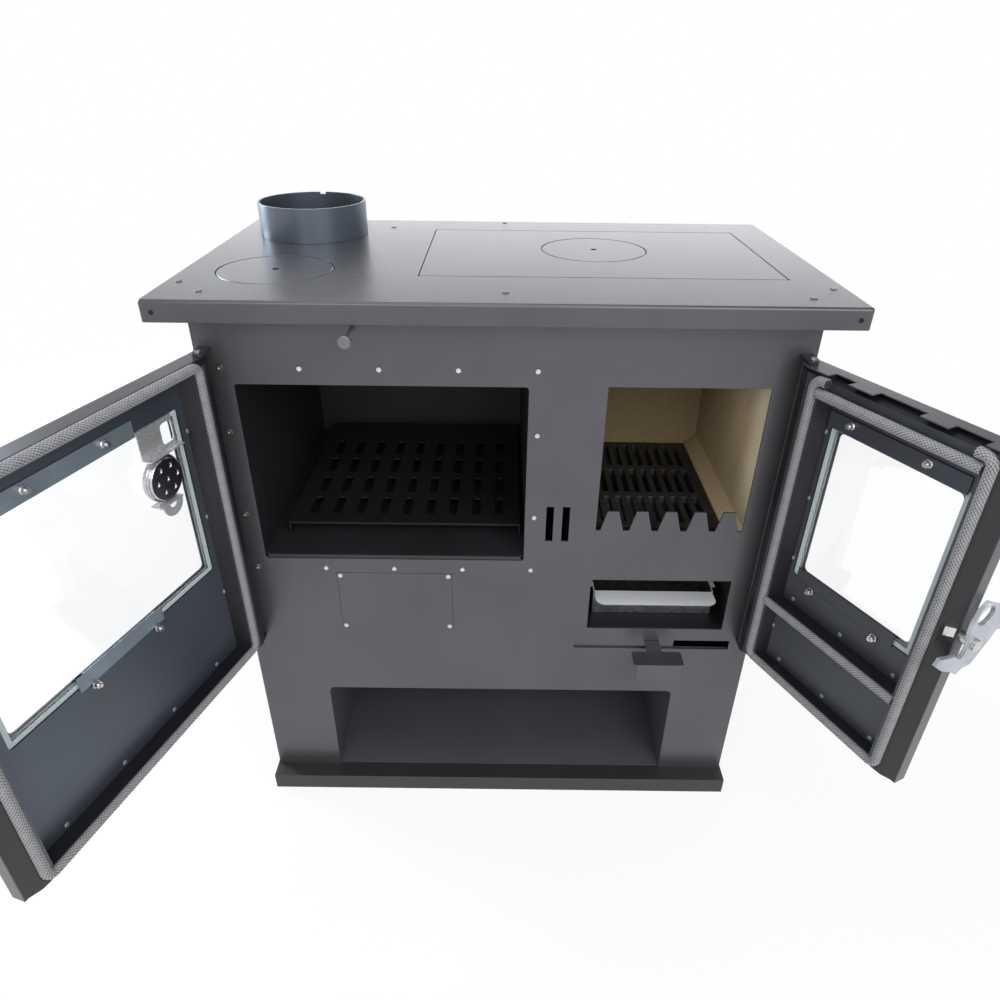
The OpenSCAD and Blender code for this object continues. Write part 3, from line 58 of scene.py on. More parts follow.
# Door places: hinge pin, opening angle and the pin's place in the door
HINGE_X = 0.3413
HINGE_Y = -0.2227
PIN_U = 0.0127
PIN_W = 0.0202
OVEN_OPEN = math.radians(107.8)
FIRE_OPEN = math.radians(116.2)

# Doors, in door coordinates: u from the hinge end, w from the sealing plane, z from the floor.
# Depths of the inner panel and of the fire door's lower panel
PANEL_W = 0.0248
LOW_PANEL_W = 0.0208

# Ropes: half thickness, depth of the middle line, its bends and its places in u and z
ROPE_R = 0.0058
ROPE_W = 0.0070
ROPE_BEND = 0.009
ROPE_HINGE = 0.033
OVEN_ROPE_U1 = 0.3835
FIRE_ROPE_U1 = 0.2394
ROPE_Z0 = 0.3173
OVEN_ROPE_Z1 = 0.7187
FIRE_ROPE_Z1 = 0.7132
# Straight ends of the fire door's rope, which leaves its upper side open
ROPE_END_L = 0.008
# Cross ropes of the fire door: heights and the air at their ends
FIRE_MID_Z = 0.4126
FIRE_UP_Z = 0.6995
CROSS_AIR = 0.0003
CROSS_U0 = ROPE_HINGE + ROPE_R + CROSS_AIR
CROSS_U1 = FIRE_ROPE_U1 - ROPE_R - CROSS_AIR
# The upper cross rope lies near the bends and ends this much earlier
BEND_ROOM = 0.0005


def door_place(side, angle):
    """A function from door coordinates to the scene; side is -1 for the left door, 1 for the right."""
    c, s = math.cos(side * angle), math.sin(side * angle)

    def place(u, w, z):
        x, y = side * (PIN_U - u), PIN_W - w
        return Vector((side * HINGE_X + c * x - s * y, HINGE_Y + s * x + c * y, z))

    return place


oven_door = door_place(-1, OVEN_OPEN)
fire_door = door_place(1, FIRE_OPEN)


# Materials

# Noise patterns: scale per metre, detail and roughness
NOISES = {
    "paint_clouds": (7.0, 4.0, 0.55),
    "paint_gloss": (260.0, 3.0, 0.55),
    "paint_grain": (1400.0, 2.0, 0.7),
    "steel_streaks": (160.0, 4.0, 0.7),
    "steel_stains": (24.0, 5.0, 0.6),
    "iron_sand": (420.0, 6.0, 0.65),
    "iron_blots": (18.0, 4.0, 0.55),
    "brick_clouds": (9.0, 5.0, 0.55),
    "zinc_grain": (600.0, 3.0, 0.55),
    "plating_tint": (120.0, 3.0, 0.55),
    "plating_gloss": (500.0, 3.0, 0.55),
    "plating_grain": (900.0, 3.0, 0.55),
    "rope_fuzz": (2600.0, 3.0, 0.7),
    "tape_wear": (60.0, 4.0, 0.55),
    "tape_grain": (1500.0, 3.0, 0.55),
    "glass_haze": (14.0, 4.0, 0.55),
    "floor_clouds": (3.0, 3.0, 0.55),
}
# Uneven gloss: how far the roughness goes below and above its middle
PAINT_GLOSS = (-0.05, 0.07)
STEEL_GLOSS = (-0.08, 0.12)
IRON_GLOSS = (-0.15, 0.15)
PLATING_GLOSS = (-0.06, 0.12)
# Tones of a surface: places along its pattern, and for metal the shares of the colour there
PAINT_PLACES = (0.3, 0.7)
PAINT_MOTTLING = 0.08
STEEL_TONES = ((0.35, 0.86), (0.65, 1.08))
IRON_TONES = ((0.3, 0.75), (0.7, 1.25))
CELL_PLACES = (0.1, 0.9)
CLOUD_PLACES = (0.3, 0.7)
PLATING_PLACES = (0.35, 0.6, 0.8)
PLATING_DARK = 0.85
STRAND_PLACES = (0.28, 0.62, 0.9)
# Painted shade on the sides of the rope's strands, as a share of the thread colour
STRAND_SIDE_SHADE = 0.45
HAZE_PLACES = (0.2, 0.8)
# Depths of the fine relief
PAINT_GRAIN = 0.00006
STEEL_BRUSH = 0.00002
IRON_GRAIN = 0.0003
FLAKE_DEPTH = 0.0002
ZINC_GRAIN = 0.00003
PLATING_GRAIN = 0.00002
FUZZ_DEPTH = 0.0002
TAPE_GRAIN = 0.0003
# How near a face has to look to a direction to count as facing it, and the mask's soft edge
PANEL_LIMIT = 0.995
TOP_LIMIT = 0.6
RIM_LIMIT = 0.9
MASK_EDGE = 0.005
UP = (0.0, 0.0, 1.0)
OVEN_DOOR_IN = (math.sin(OVEN_OPEN), math.cos(OVEN_OPEN), 0.0)
FIRE_DOOR_IN = (-math.sin(FIRE_OPEN), math.cos(FIRE_OPEN), 0.0)

WHITE = (1.0, 1.0, 1.0)
# Painted shade: a matt black for the walls of recesses and gaps
PAINTED_SHADE_BLACK = (0.010, 0.0095, 0.012)
BRUSH_STRETCH = (1.0, 1.0, 30.0)
IRON_METALLIC = 0.35

# Fire brick: depths run back from the front panel
BRICK_FRONT = -0.2
FLAKE_SCALE = 520.0
FLAKE_TONES = ((0.60, 0.47, 0.29), (0.74, 0.60, 0.40))
BRICK_CLOUD = (0.78, 0.75, 0.68)
BRICK_CLOUD_SHARE = 0.5
CLOUD_SHIFT = 0.03
# Painted light: a pale warm tone on the front of the bricks, where light falls in at the mouth, and
# how far back it fades
PAINTED_FRONT_LIGHT = (0.88, 0.76, 0.54)
FRONT_LIGHT_SHARE = 0.85
FRONT_LIGHT_FADES = (BRICK_FRONT + 0.090, BRICK_FRONT + 0.050)
# Painted shade: darker deeper in the firebox, and where that grows
DEPTH_SHADE = (0.50, 0.46, 0.40)
DEPTH_SHADE_GROWS = (BRICK_FRONT + 0.12, BRICK_FRONT + 0.36)
BRICK_ROUGH = 0.85

# Ash pan: its rim's height, the zinc in the pan, and a pale matt zinc on the rim that is a painted
# highlight
PAN_RIM_Z = 0.3572
PAN_RIM_FADE = (PAN_RIM_Z - 0.002, PAN_RIM_Z - 0.001)
SPANGLE_SCALE = 150.0
ZINC_TONES = ((0.17, 0.185, 0.205), (0.27, 0.285, 0.31))
RIM_HIGHLIGHT = (0.93, 0.95, 0.97)
PAN_METALLIC = 0.85
RIM_METALLIC = 0.1
SPANGLE_ROUGH = (0.28, 0.42)

PLATING_TINT = (0.80, 0.66, 0.60)
FUZZ_RANGE = (0.55, 1.35)
ROPE_ROUGH = 0.8
ROPE_SHEEN = 0.15
TAPE_SCALE = 1100.0
TAPE_THREAD = (0.62, 0.70, 0.71)
TAPE_SHADE = (0.22, 0.28, 0.30)
TAPE_WORN = (0.56, 0.62, 0.63)
TAPE_WORN_SHARE = 0.8
TAPE_ROUGH = 0.75
GLASS_TINT = (0.985, 0.99, 0.992)
GLASS_HAZE = 0.02
GLASS_IOR = 1.46


class Nodes:
    """A small help to build the nodes of a material or of the world."""

    def __init__(self, owner):
        owner.use_nodes = True
        self.owner = owner
        self.tree = owner.node_tree
        self.bsdf = self.tree.nodes.get("Principled BSDF")

    def feed(self, value, into):
        """Gives a socket a number, a colour or another node's output."""
        if isinstance(value, bpy.types.NodeSocket):
            self.tree.links.new(value, into)
        else:
            into.default_value = (*value, 1.0) if isinstance(value, tuple) else value

    def add(self, kind, **values):
        """A new node; each value goes to the input of that name, or else to the setting."""
        node = self.tree.nodes.new(kind)
        for key, value in values.items():
            socket = key.replace("_", " ")
            if socket in node.inputs:
                self.feed(value, node.inputs[socket])
            else:
                setattr(node, key, value)
        return node

    def surface(self, **values):
        """The material's own inputs, such as Base_Color and Roughness."""
        for key, value in values.items():
            self.feed(value, self.bsdf.inputs[key.replace("_", " ")])

    def coords(self):
        """Places in the object's own space, which go with its body."""
        return self.add("ShaderNodeTexCoord").outputs["Object"]

    def axis(self, name, coords=None):
        """One of the three coordinates."""
        parts = self.add("ShaderNodeSeparateXYZ", Vector=coords or self.coords())
        return parts.outputs[name]

    def noise(self, pattern, coords=None):
        """One of the NOISES."""
        scale, detail, rough = NOISES[pattern]
        return self.add("ShaderNodeTexNoise", Vector=coords or self.coords(), Scale=scale,
                        Detail=detail, Roughness=rough).outputs["Fac"]

    def cells(self, scale):
        """A pattern of cells, with a Color and a Distance output."""
        return self.add("ShaderNodeTexVoronoi", Vector=self.coords(), Scale=scale).outputs

    def ramp(self, fac, stops):
        """A colour ramp through (place, colour) stops."""
        node = self.add("ShaderNodeValToRGB", Fac=fac)
        elements = node.color_ramp.elements
        while len(elements) < len(stops):
            elements.new(0.5)
        for element, (place, colour) in zip(elements, stops):
            element.position = place
            element.color = (*colour, 1.0)
        return node.outputs["Color"]

    def number(self, value, low, high, start=0.0, end=1.0, curve="LINEAR"):
        """low where the value is at start or before, high from end on."""
        return self.add("ShaderNodeMapRange", interpolation_type=curve, Value=value, From_Min=start,
                        From_Max=end, To_Min=low, To_Max=high).outputs["Result"]

    def gloss(self, noise, rough, spread):
        """A roughness that wanders round its middle with the noise."""
        return self.number(noise, rough + spread[0], rough + spread[1])

    def calc(self, operation, *values):
        """The result of a sum on numbers or other nodes' outputs."""
        node = self.add("ShaderNodeMath", operation=operation)
        for value, socket in zip(values, node.inputs):
            self.feed(value, socket)
        return node.outputs["Value"]

    def mixed(self, fac, a, b, data_type="RGBA", blend_type="MIX"):
        """a where fac is 0 and b, or a blended with b, where it is 1."""
        mix = self.add("ShaderNodeMix", data_type=data_type, blend_type=blend_type)
        for value, name in ((fac, "Factor"), (a, "A"), (b, "B")):
            self.feed(value, mix.inputs[name])
        return mix.outputs["Result"]

    def bump(self, height, distance):
        """Relief of the given depth."""
        return self.add("ShaderNodeBump", Height=height, Distance=distance,
                        Strength=1.0).outputs["Normal"]

    def towards(self, direction, limit):
        """1 on the faces of the object that look in the given direction, 0 on the others."""
        dot = self.add("ShaderNodeVectorMath", operation="DOT_PRODUCT")
        self.feed(self.add("ShaderNodeTexCoord").outputs["Normal"], dot.inputs[0])
        dot.inputs[1].default_value = direction
        return self.number(dot.outputs["Value"], 0.0, 1.0, limit - MASK_EDGE, limit)


def new_material(name):
    """A new material and its nodes."""
    return Nodes(bpy.data.materials.new(name))


def shade(colour, k):
    """The colour times k."""
    return tuple(min(1.0, c * k) for c in colour)


def shades(colour, tones):
    """Ramp stops from (place, share of the colour) tones."""
    return [(place, shade(colour, k)) for place, k in tones]


def painted(name, colour, rough, grain=PAINT_GRAIN, metallic=0.0, mottling=PAINT_MOTTLING):
    """Heat-resistant paint: a fine dusty grain, faint mottling and uneven gloss."""
    m = new_material(name)
    tones = zip(PAINT_PLACES, (1 - mottling, 1 + mottling))
    m.surface(Base_Color=m.ramp(m.noise("paint_clouds"), shades(colour, tones)),
              Roughness=m.gloss(m.noise("paint_gloss"), rough, PAINT_GLOSS),
              Normal=m.bump(m.noise("paint_grain"), grain), Metallic=metallic)
    return m.owner


def painted_shade_beside(material, direction, limit):
    """The same paint where a face looks in the direction, and on the other faces a matt black that is
    painted shade, as on the walls of recesses and gaps.
    """
    m = Nodes(material)
    facing = m.towards(direction, limit)
    paint = m.bsdf.inputs["Base Color"].links[0].from_socket
    metallic = m.bsdf.inputs["Metallic"].default_value
    m.surface(Base_Color=m.mixed(facing, PAINTED_SHADE_BLACK, paint),
              Metallic=m.number(facing, 0.0, metallic))
    return material


def bare_metal(name, colour, rough, metallic, brush=STEEL_BRUSH):
    """Rolled or brushed steel: long faint streaks and small stains."""
    m = new_material(name)
    along = m.add("ShaderNodeMapping", Vector=m.coords())
    along.inputs["Scale"].default_value = BRUSH_STRETCH
    streaks = m.noise("steel_streaks", along.outputs["Vector"])
    m.surface(Base_Color=m.ramp(m.noise("steel_stains"), shades(colour, STEEL_TONES)),
              Roughness=m.gloss(streaks, rough, STEEL_GLOSS),
              Normal=m.bump(streaks, brush), Metallic=metallic)
    return m.owner


def cast(name, colour, rough):
    """Cast iron: a sandy skin with darker pits."""
    m = new_material(name)
    sand = m.noise("iron_sand")
    m.surface(Base_Color=m.ramp(m.noise("iron_blots"), shades(colour, IRON_TONES)),
              Roughness=m.gloss(sand, rough, IRON_GLOSS),
              Normal=m.bump(sand, IRON_GRAIN), Metallic=IRON_METALLIC)
    return m.owner


def vermiculite(name):
    """Pressed fire brick: tan flakes in broad clouds, with painted light near the front and painted
    shade deeper back.
    """
    m = new_material(name)
    flakes = m.cells(FLAKE_SCALE)
    tan = m.ramp(flakes["Color"], list(zip(CELL_PLACES, FLAKE_TONES)))
    cloud = m.noise("brick_clouds")
    clouds = m.ramp(cloud, list(zip(CLOUD_PLACES, (BRICK_CLOUD, WHITE))))
    clouded = m.mixed(BRICK_CLOUD_SHARE, tan, clouds, blend_type="MULTIPLY")
    depth = m.calc("MULTIPLY_ADD", cloud, CLOUD_SHIFT, m.axis("Y"))
    depth_shaded = m.mixed(m.number(depth, 0.0, 1.0, *DEPTH_SHADE_GROWS), clouded, DEPTH_SHADE, blend_type="MULTIPLY")
    front_lit = m.mixed(m.number(depth, 0.0, FRONT_LIGHT_SHARE, *FRONT_LIGHT_FADES), depth_shaded, PAINTED_FRONT_LIGHT)
    m.surface(Base_Color=front_lit, Normal=m.bump(flakes["Distance"], FLAKE_DEPTH),
              Roughness=BRICK_ROUGH)
    return m.owner


def spangled(name):
    """Galvanised sheet: zinc spangle, with a painted highlight, pale and matt, on the rim that looks
    up.
    """
    m = new_material(name)
    spangle = m.cells(SPANGLE_SCALE)
    zinc = m.ramp(spangle["Color"], list(zip(CELL_PLACES, ZINC_TONES)))
    rim = m.calc("MULTIPLY", m.towards(UP, RIM_LIMIT), m.number(m.axis("Z"), 0.0, 1.0, *PAN_RIM_FADE))
    m.surface(Base_Color=m.mixed(rim, zinc, RIM_HIGHLIGHT),
              Metallic=m.number(rim, PAN_METALLIC, RIM_METALLIC),
              Roughness=m.number(spangle["Color"], *SPANGLE_ROUGH),
              Normal=m.bump(m.noise("zinc_grain"), ZINC_GRAIN))
    return m.owner


def plated(name, colour, rough):
    """Bright zinc plating with a little colour."""
    m = new_material(name)
    tones = list(zip(PLATING_PLACES, (shade(colour, PLATING_DARK), colour, PLATING_TINT)))
    m.surface(Base_Color=m.ramp(m.noise("plating_tint"), tones),
              Roughness=m.gloss(m.noise("plating_gloss"), rough, PLATING_GLOSS),
              Normal=m.bump(m.noise("plating_grain"), PLATING_GRAIN), Metallic=1.0)
    return m.owner


def braided(name, dark, light):
    """Glass-fibre braid: light threads over a dark core, with painted shade down the strands' sides
    and on the strands that lie under, from the weave attribute of the mesh.
    """
    m = new_material(name)
    weave = m.add("ShaderNodeAttribute", attribute_name="weave").outputs["Fac"]
    fuzz = m.noise("rope_fuzz")
    thread = m.calc("MULTIPLY", weave, m.number(fuzz, *FUZZ_RANGE))
    tones = list(zip(STRAND_PLACES, (dark, shade(light, STRAND_SIDE_SHADE), light)))
    m.surface(Base_Color=m.ramp(thread, tones), Normal=m.bump(fuzz, FUZZ_DEPTH),
              Roughness=ROPE_ROUGH, Sheen_Weight=ROPE_SHEEN)
    return m.owner


def taped(name):
    """Woven white tape with painted grey-green shade between the threads."""
    m = new_material(name)
    check = m.add("ShaderNodeTexChecker", Vector=m.coords(), Scale=TAPE_SCALE, Color1=TAPE_THREAD,
                  Color2=TAPE_SHADE)
    worn = m.number(m.noise("tape_wear"), 0.0, TAPE_WORN_SHARE)
    m.surface(Base_Color=m.mixed(worn, check.outputs["Color"], TAPE_WORN),
              Normal=m.bump(m.noise("tape_grain"), TAPE_GRAIN), Roughness=TAPE_ROUGH)
    return m.owner


def clear_glass(name):
    """Clear glass with a trace of haze."""
    m = new_material(name)
    haze = m.noise("glass_haze")
    m.surface(Roughness=m.number(haze, 0.0, GLASS_HAZE),
              Base_Color=m.ramp(haze, list(zip(HAZE_PLACES, (GLASS_TINT, WHITE)))),
              Transmission_Weight=1.0, IOR=GLASS_IOR)
    return m.owner


MATERIALS = {
    "body_paint": painted("stove_paint", (0.102, 0.101, 0.112), 0.30, metallic=0.58),
    "inner_paint": painted("inner_paint", (0.048, 0.043, 0.045), 0.42, metallic=0.4),
    # The oven door's inner panel keeps its paint; the walls of its recess get painted shade in matt
    # black
    "door_inner_paint": painted_shade_beside(
        painted("door_inner_paint", (0.078, 0.092, 0.116), 0.34, metallic=0.55),
        OVEN_DOOR_IN, PANEL_LIMIT),
    # A darker copy of the oven door's inner paint, as painted shade on the fire door's inner side,
    # which is turned from the light; the walls of its recess get painted shade in matt black
    "fire_inner_paint": painted_shade_beside(
        painted("fire_inner_paint", (0.056, 0.061, 0.076), 0.4, metallic=0.4),
        FIRE_DOOR_IN, PANEL_LIMIT),
    "collar_paint": painted("collar_paint", (0.125, 0.150, 0.185), 0.31, grain=0.00001,
                            metallic=0.75, mottling=0.04),
    "oven_sheet": painted("oven_coating", (0.018, 0.017, 0.021), 0.5, mottling=0.2),
    # The oven tray's black coating, also put on the ash box as painted shade
    "tray_black": painted("black_coating_and_shade", (0.010, 0.009, 0.011), 0.5, mottling=0.2),
    "soot_iron": cast("sooty_iron", (0.036, 0.036, 0.038), 0.5),
    # The hot plate pieces keep their paint on faces that look up; their sides, seen in the gaps round
    # them, get painted shade in matt black
    "hotplate_iron": painted_shade_beside(
        painted("hotplate_paint_and_shade", (0.104, 0.104, 0.112), 0.30, grain=0.00008, metallic=0.55),
        UP, TOP_LIMIT),
    "fire_brick": vermiculite("fire_brick"),
    "zinc": plated("zinc", (0.70, 0.68, 0.67), 0.24),
    "galvanised": spangled("galvanised"),
    "bare_steel": bare_metal("bare_steel", (0.50, 0.53, 0.57), 0.36, 0.8),
    "bright_steel": bare_metal("bright_steel", (0.74, 0.75, 0.77), 0.26, 0.7, brush=0.000005),
    "spring_steel": bare_metal("blued_strip", (0.19, 0.235, 0.28), 0.36, 0.35),
    "knob_grey": painted("knob_grey", (0.16, 0.16, 0.165), 0.32, metallic=0.3),
    "rope_fibre": braided("rope_braid", (0.012, 0.012, 0.014), (0.70, 0.70, 0.73)),
    "tape_fibre": taped("glass_tape"),
    "stove_glass": clear_glass("stove_glass"),
    "dial_steel": plated("dial_steel", (0.62, 0.63, 0.66), 0.18),
}
NICHE_PAINT = painted("niche_paint", (0.078, 0.078, 0.092), 0.45)


# Pieces

# Angles above which an edge stays sharp in the shading
FLAT_PARTS_SHARP = 36.0
ROUND_PARTS_SHARP = 60.0


def new_piece(name, bm, slot, body, angle=FLAT_PARTS_SHARP, weighted=False):
    """A piece from a mesh, with the material of its slot, its shading and its body."""
    mesh = bpy.data.meshes.new(name)
    bmesh.ops.recalc_face_normals(bm, faces=bm.faces)
    bm.to_mesh(mesh)
    bm.free()
    obj = bpy.data.objects.new(name, mesh)
    bpy.context.scene.collection.objects.link(obj)
    mesh.materials.append(MATERIALS[slot])
    for p in mesh.polygons:
        p.use_smooth = True
    mesh.set_sharp_from_angle(angle=math.radians(angle))
    if weighted:
        mod = obj.modifiers.new("flat_faces", "WEIGHTED_NORMAL")
        mod.keep_sharp = True
    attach(obj, body)
    return obj


# Edges steeper than this are broken; faces flatter than the second angle are one face
BREAK_ANGLE = math.radians(40.0)
FLAT_ANGLE = math.radians(0.4)
BREAK_SEGMENTS = 2
ROUND_SEGMENTS = 5
CIRCULAR = 0.5
SAME_POINT = 1e-6

# Solids with their edges broken as on the real sheet and castings, and how wide
BROKEN_EDGES = {
    "top_plate": 0.0003, "plinth": 0.0006, "front_panel": 0.0003, "left_panel": 0.0004,
    "right_panel": 0.0004, "back_panel": 0.0003, "soot_cover": 0.00025, "top_insert": 0.0004,
    "flue_collar": 0.0004, "grate": 0.0012, "brick_left": 0.0010, "brick_right": 0.0010,
    "brick_back": 0.0010, "oven_tray": 0.0003, "ash_pan": 0.0003, "air_shutter": 0.0004,
    "damper_knob": 0.0003, "oven_door_skin": 0.0003, "fire_door_skin": 0.0003,
    "oven_door_clamps": 0.0003, "fire_door_clamps": 0.0003, "oven_latch_lever": 0.0006,
    "fire_latch_lever": 0.0006, "hinge_lugs": 0.0003, "niche_liner": 0.0003,
    "thermometer_bracket": 0.0002,
}
# Cooking top: height, half width, front and back, and the round of its folded edge
TOP_Z = 0.7885
TOP_X = 0.389
TOP_Y0 = -0.2375
TOP_Y1 = 0.2125
TOP_ROUND = 0.0035
TOP_FLATNESS = 1e-5
CORNER_ROOM = 0.0055


def folded_edge(edge):
    """The outer upper edges of the cooking top, where its sheet is folded down."""
    return all(abs(v.co.z - TOP_Z) < TOP_FLATNESS
               and (abs(v.co.x) > TOP_X - CORNER_ROOM or v.co.y < TOP_Y0 + CORNER_ROOM
                    or v.co.y > TOP_Y1 - CORNER_ROOM) for v in edge.verts)


def rounded(bm, edges, width, segments):
    """Rounds the edges."""
    bmesh.ops.bevel(bm, geom=edges, offset=width, offset_type="OFFSET", segments=segments,
                    profile=CIRCULAR, affect="EDGES", clamp_overlap=False)


def softened(node, width):
    """The node's own solid with its sharp edges broken, shown in the node's place."""
    bm = bmesh.new()
    bm.from_mesh(NODES[node].data)
    bmesh.ops.remove_doubles(bm, verts=bm.verts, dist=SAME_POINT)
    bmesh.ops.dissolve_limit(bm, angle_limit=FLAT_ANGLE, verts=bm.verts, edges=bm.edges)
    if node == "top_plate":
        rounded(bm, [e for e in bm.edges if folded_edge(e)], TOP_ROUND, ROUND_SEGMENTS)
    sharp = [e for e in bm.edges
             if len(e.link_faces) == 2 and e.calc_face_angle(0.0) > BREAK_ANGLE]
    rounded(bm, sharp, width, BREAK_SEGMENTS)
    piece = new_piece(node + ".dressed", bm, SLOT_OF[node], BODY_OF[node], weighted=True)
    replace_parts(piece, node)


for node, width in BROKEN_EDGES.items():
    softened(node, width)
bpy.data.objects["niche_liner.dressed"].data.materials[0] = NICHE_PAINT

# Nodes whose solid is shown as it is, with another material; the near black on the ash box is painted
# shade inside the ash compartment
OTHER_PAINT_AND_SHADE = {"base_panel": NICHE_PAINT, "ash_box": MATERIALS["tray_black"]}
for node, obj in NODES.items():
    if not obj.hide_render:
        obj.data.materials.clear()
        obj.data.materials.append(OTHER_PAINT_AND_SHADE.get(node, MATERIALS[SLOT_OF[node]]))


# Braided ropes

BRAID_LOBES = 10
BRAID_PITCH = 0.0042
# Radius in the grooves and what the strands add to it, as shares of the rope's radius
GROOVE_R = 0.90
STRAND_R = 0.10
# Height of a strand that lies below, and what one that lies on top has more
UNDER = 0.55
OVER = 0.45
RING_STEP = 0.0010
RING_POINTS = 36
MIN_RINGS = 8
BEND_STEPS = 12
SHORTEST = 1e-7


def arc(cu, cz, start, end):
    """Points of a quarter bend of the rope's middle line."""
    angles = [start + (end - start) * i / BEND_STEPS for i in range(BEND_STEPS + 1)]
    return [(cu + ROPE_BEND * math.cos(a), cz + ROPE_BEND * math.sin(a)) for a in angles]


def bends(u0, u1, z0, z1):
    """The four bends: low at the hinge, low and high at the latch, high at the hinge."""
    b = ROPE_BEND
    q = math.pi / 2
    return (arc(u0 + b, z0 + b, 2 * q, 3 * q), arc(u1 - b, z0 + b, 3 * q, 4 * q),
            arc(u1 - b, z1 - b, 0, q), arc(u0 + b, z1 - b, q, 2 * q))


def ring_path(u0, u1, z0, z1):
    """A closed line round the door."""
    low_hinge, low_latch, high_latch, high_hinge = bends(u0, u1, z0, z1)
    return low_hinge + low_latch + high_latch + high_hinge


def open_path(u0, u1, z0, z1):
    """A line down one side, along the bottom and up the other side, with short ends on top."""
    low_hinge, low_latch, high_latch, high_hinge = bends(u0, u1, z0, z1)
    end = ROPE_BEND + ROPE_END_L
    return [(u0 + end, z1)] + high_hinge + low_hinge + low_latch + high_latch + [(u1 - end, z1)]


def resample(points, closed):
    """The same line with rings at even steps: (place, direction, length so far)."""
    pts = points + [points[0]] if closed else points
    spans = [(Vector(a), Vector(b)) for a, b in zip(pts, pts[1:])]
    spans = [(a, b) for a, b in spans if (b - a).length > SHORTEST]
    total = sum((b - a).length for a, b in spans)
    count = max(MIN_RINGS, round(total / RING_STEP))
    out, done, k = [], 0.0, 0
    for i in range(count if closed else count + 1):
        s = total * i / count
        while k < len(spans) - 1 and s > done + (spans[k][1] - spans[k][0]).length:
            done += (spans[k][1] - spans[k][0]).length
            k += 1
        a, b = spans[k]
        d = (b - a).normalized()
        out.append((a + d * (s - done), d, s))
    return out, total


def weave_height(turn, s, turns):
    """0 in the grooves between strands, 1 on the middle of the strand that lies on top."""
    a = BRAID_LOBES * turn + 2 * math.pi * s * turns
    b = BRAID_LOBES * turn - 2 * math.pi * s * turns
    over = 0.5 + 0.5 * math.sin(0.5 * (a + b)) * math.sin(0.5 * (a - b))
    return max(abs(math.cos(a / 2)) * (UNDER + OVER * over),
               abs(math.cos(b / 2)) * (1.0 - OVER * over))


def rope(name, paths, place, body, node):
    """Braided rope along (u, z) lines at the rope's depth; each path is (points, closed)."""
    bm = bmesh.new()
    weave = bm.verts.layers.float.new("weave")
    for points, closed in paths:
        line, total = resample(points, closed)
        turns = round(total / BRAID_PITCH) / total
        rings = []
        for p, d, s in line:
            side = Vector((-d.y, d.x))
            ring = []
            for j in range(RING_POINTS):
                t = 2 * math.pi * j / RING_POINTS
                h = weave_height(t, s, turns)
                r = ROPE_R * (GROOVE_R + STRAND_R * h)
                q = p + side * r * math.cos(t)
                v = bm.verts.new(place(q.x, ROPE_W + r * math.sin(t), q.y))
                v[weave] = h
                ring.append(v)
            rings.append(ring)
        bands(bm, rings + rings[:1] if closed else rings)
        if not closed:
            bm.faces.new(rings[0])
            bm.faces.new(rings[-1])
    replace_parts(new_piece(name, bm, "rope_fibre", body, angle=ROUND_PARTS_SHARP), node)


def bands(bm, rings):
    """Faces between each ring of points and the next."""
    for r0, r1 in zip(rings, rings[1:]):
        for j in range(len(r0)):
            k = (j + 1) % len(r0)
            bm.faces.new((r0[j], r0[k], r1[k], r1[j]))


rope("oven_rope_braid", [(ring_path(ROPE_HINGE, OVEN_ROPE_U1, ROPE_Z0, OVEN_ROPE_Z1), True)],
     oven_door, "oven_door", "oven_door_rope")
rope("fire_rope_braid", [(open_path(ROPE_HINGE, FIRE_ROPE_U1, ROPE_Z0, FIRE_ROPE_Z1), False)],
     fire_door, "fire_door", "fire_door_rope")
rope("fire_cross_braid",
     [([(CROSS_U0, FIRE_MID_Z), (CROSS_U1, FIRE_MID_Z)], False),
      ([(CROSS_U0 + BEND_ROOM, FIRE_UP_Z), (CROSS_U1 - BEND_ROOM, FIRE_UP_Z)], False)],
     fire_door, "fire_door", "fire_door_cross_rope")


# Spot welds pressed into the inner panels

WELD_R = 0.0032
WELD_H = 0.0012
WELD_RINGS = 4
WELD_SIDES = 20

# Rows of welds: places in u, depth w and heights z; each u goes with each z
OVEN_WELDS = [((0.0900, 0.1726, 0.2552, 0.3376), PANEL_W, (0.3298,)),
              ((0.0480, 0.3700), PANEL_W, (0.4182, 0.5322, 0.6461))]
FIRE_WELDS = [((0.0640, 0.1388, 0.2136), PANEL_W, (0.4255,)),
              ((0.0480,), PANEL_W, (0.4800, 0.5665, 0.6531)),
              ((0.0700, 0.1434, 0.2168), LOW_PANEL_W, (0.3304,)),
              ((0.0480,), LOW_PANEL_W, (0.3727,))]


def dome(bm, place, u, w, z):
    """A low dome on a door's inner panel, facing the sealing plane."""
    rings = []
    for i in range(WELD_RINGS):
        a = math.pi / 2 * i / WELD_RINGS
        r = WELD_R * math.cos(a)
        turns = [2 * math.pi * j / WELD_SIDES for j in range(WELD_SIDES)]
        rings.append([bm.verts.new(place(u + r * math.cos(t), w - WELD_H * math.sin(a),
                                         z + r * math.sin(t))) for t in turns])
    bands(bm, rings)
    top = bm.verts.new(place(u, w - WELD_H, z))
    for j in range(WELD_SIDES):
        bm.faces.new((rings[-1][j], rings[-1][(j + 1) % WELD_SIDES], top))
    bm.faces.new(rings[0])


def spot_welds(name, place, rows, body):
    """All welds of a door in one piece."""
    bm = bmesh.new()
    for us, w, zs in rows:
        for u in us:
            for z in zs:
                dome(bm, place, u, w, z)
    new_piece(name, bm, "spring_steel", body, angle=ROUND_PARTS_SHARP)


spot_welds("oven_door_welds", oven_door, OVEN_WELDS, "oven_door")
spot_welds("fire_door_welds", fire_door, FIRE_WELDS, "fire_door")


# Floor, light and camera

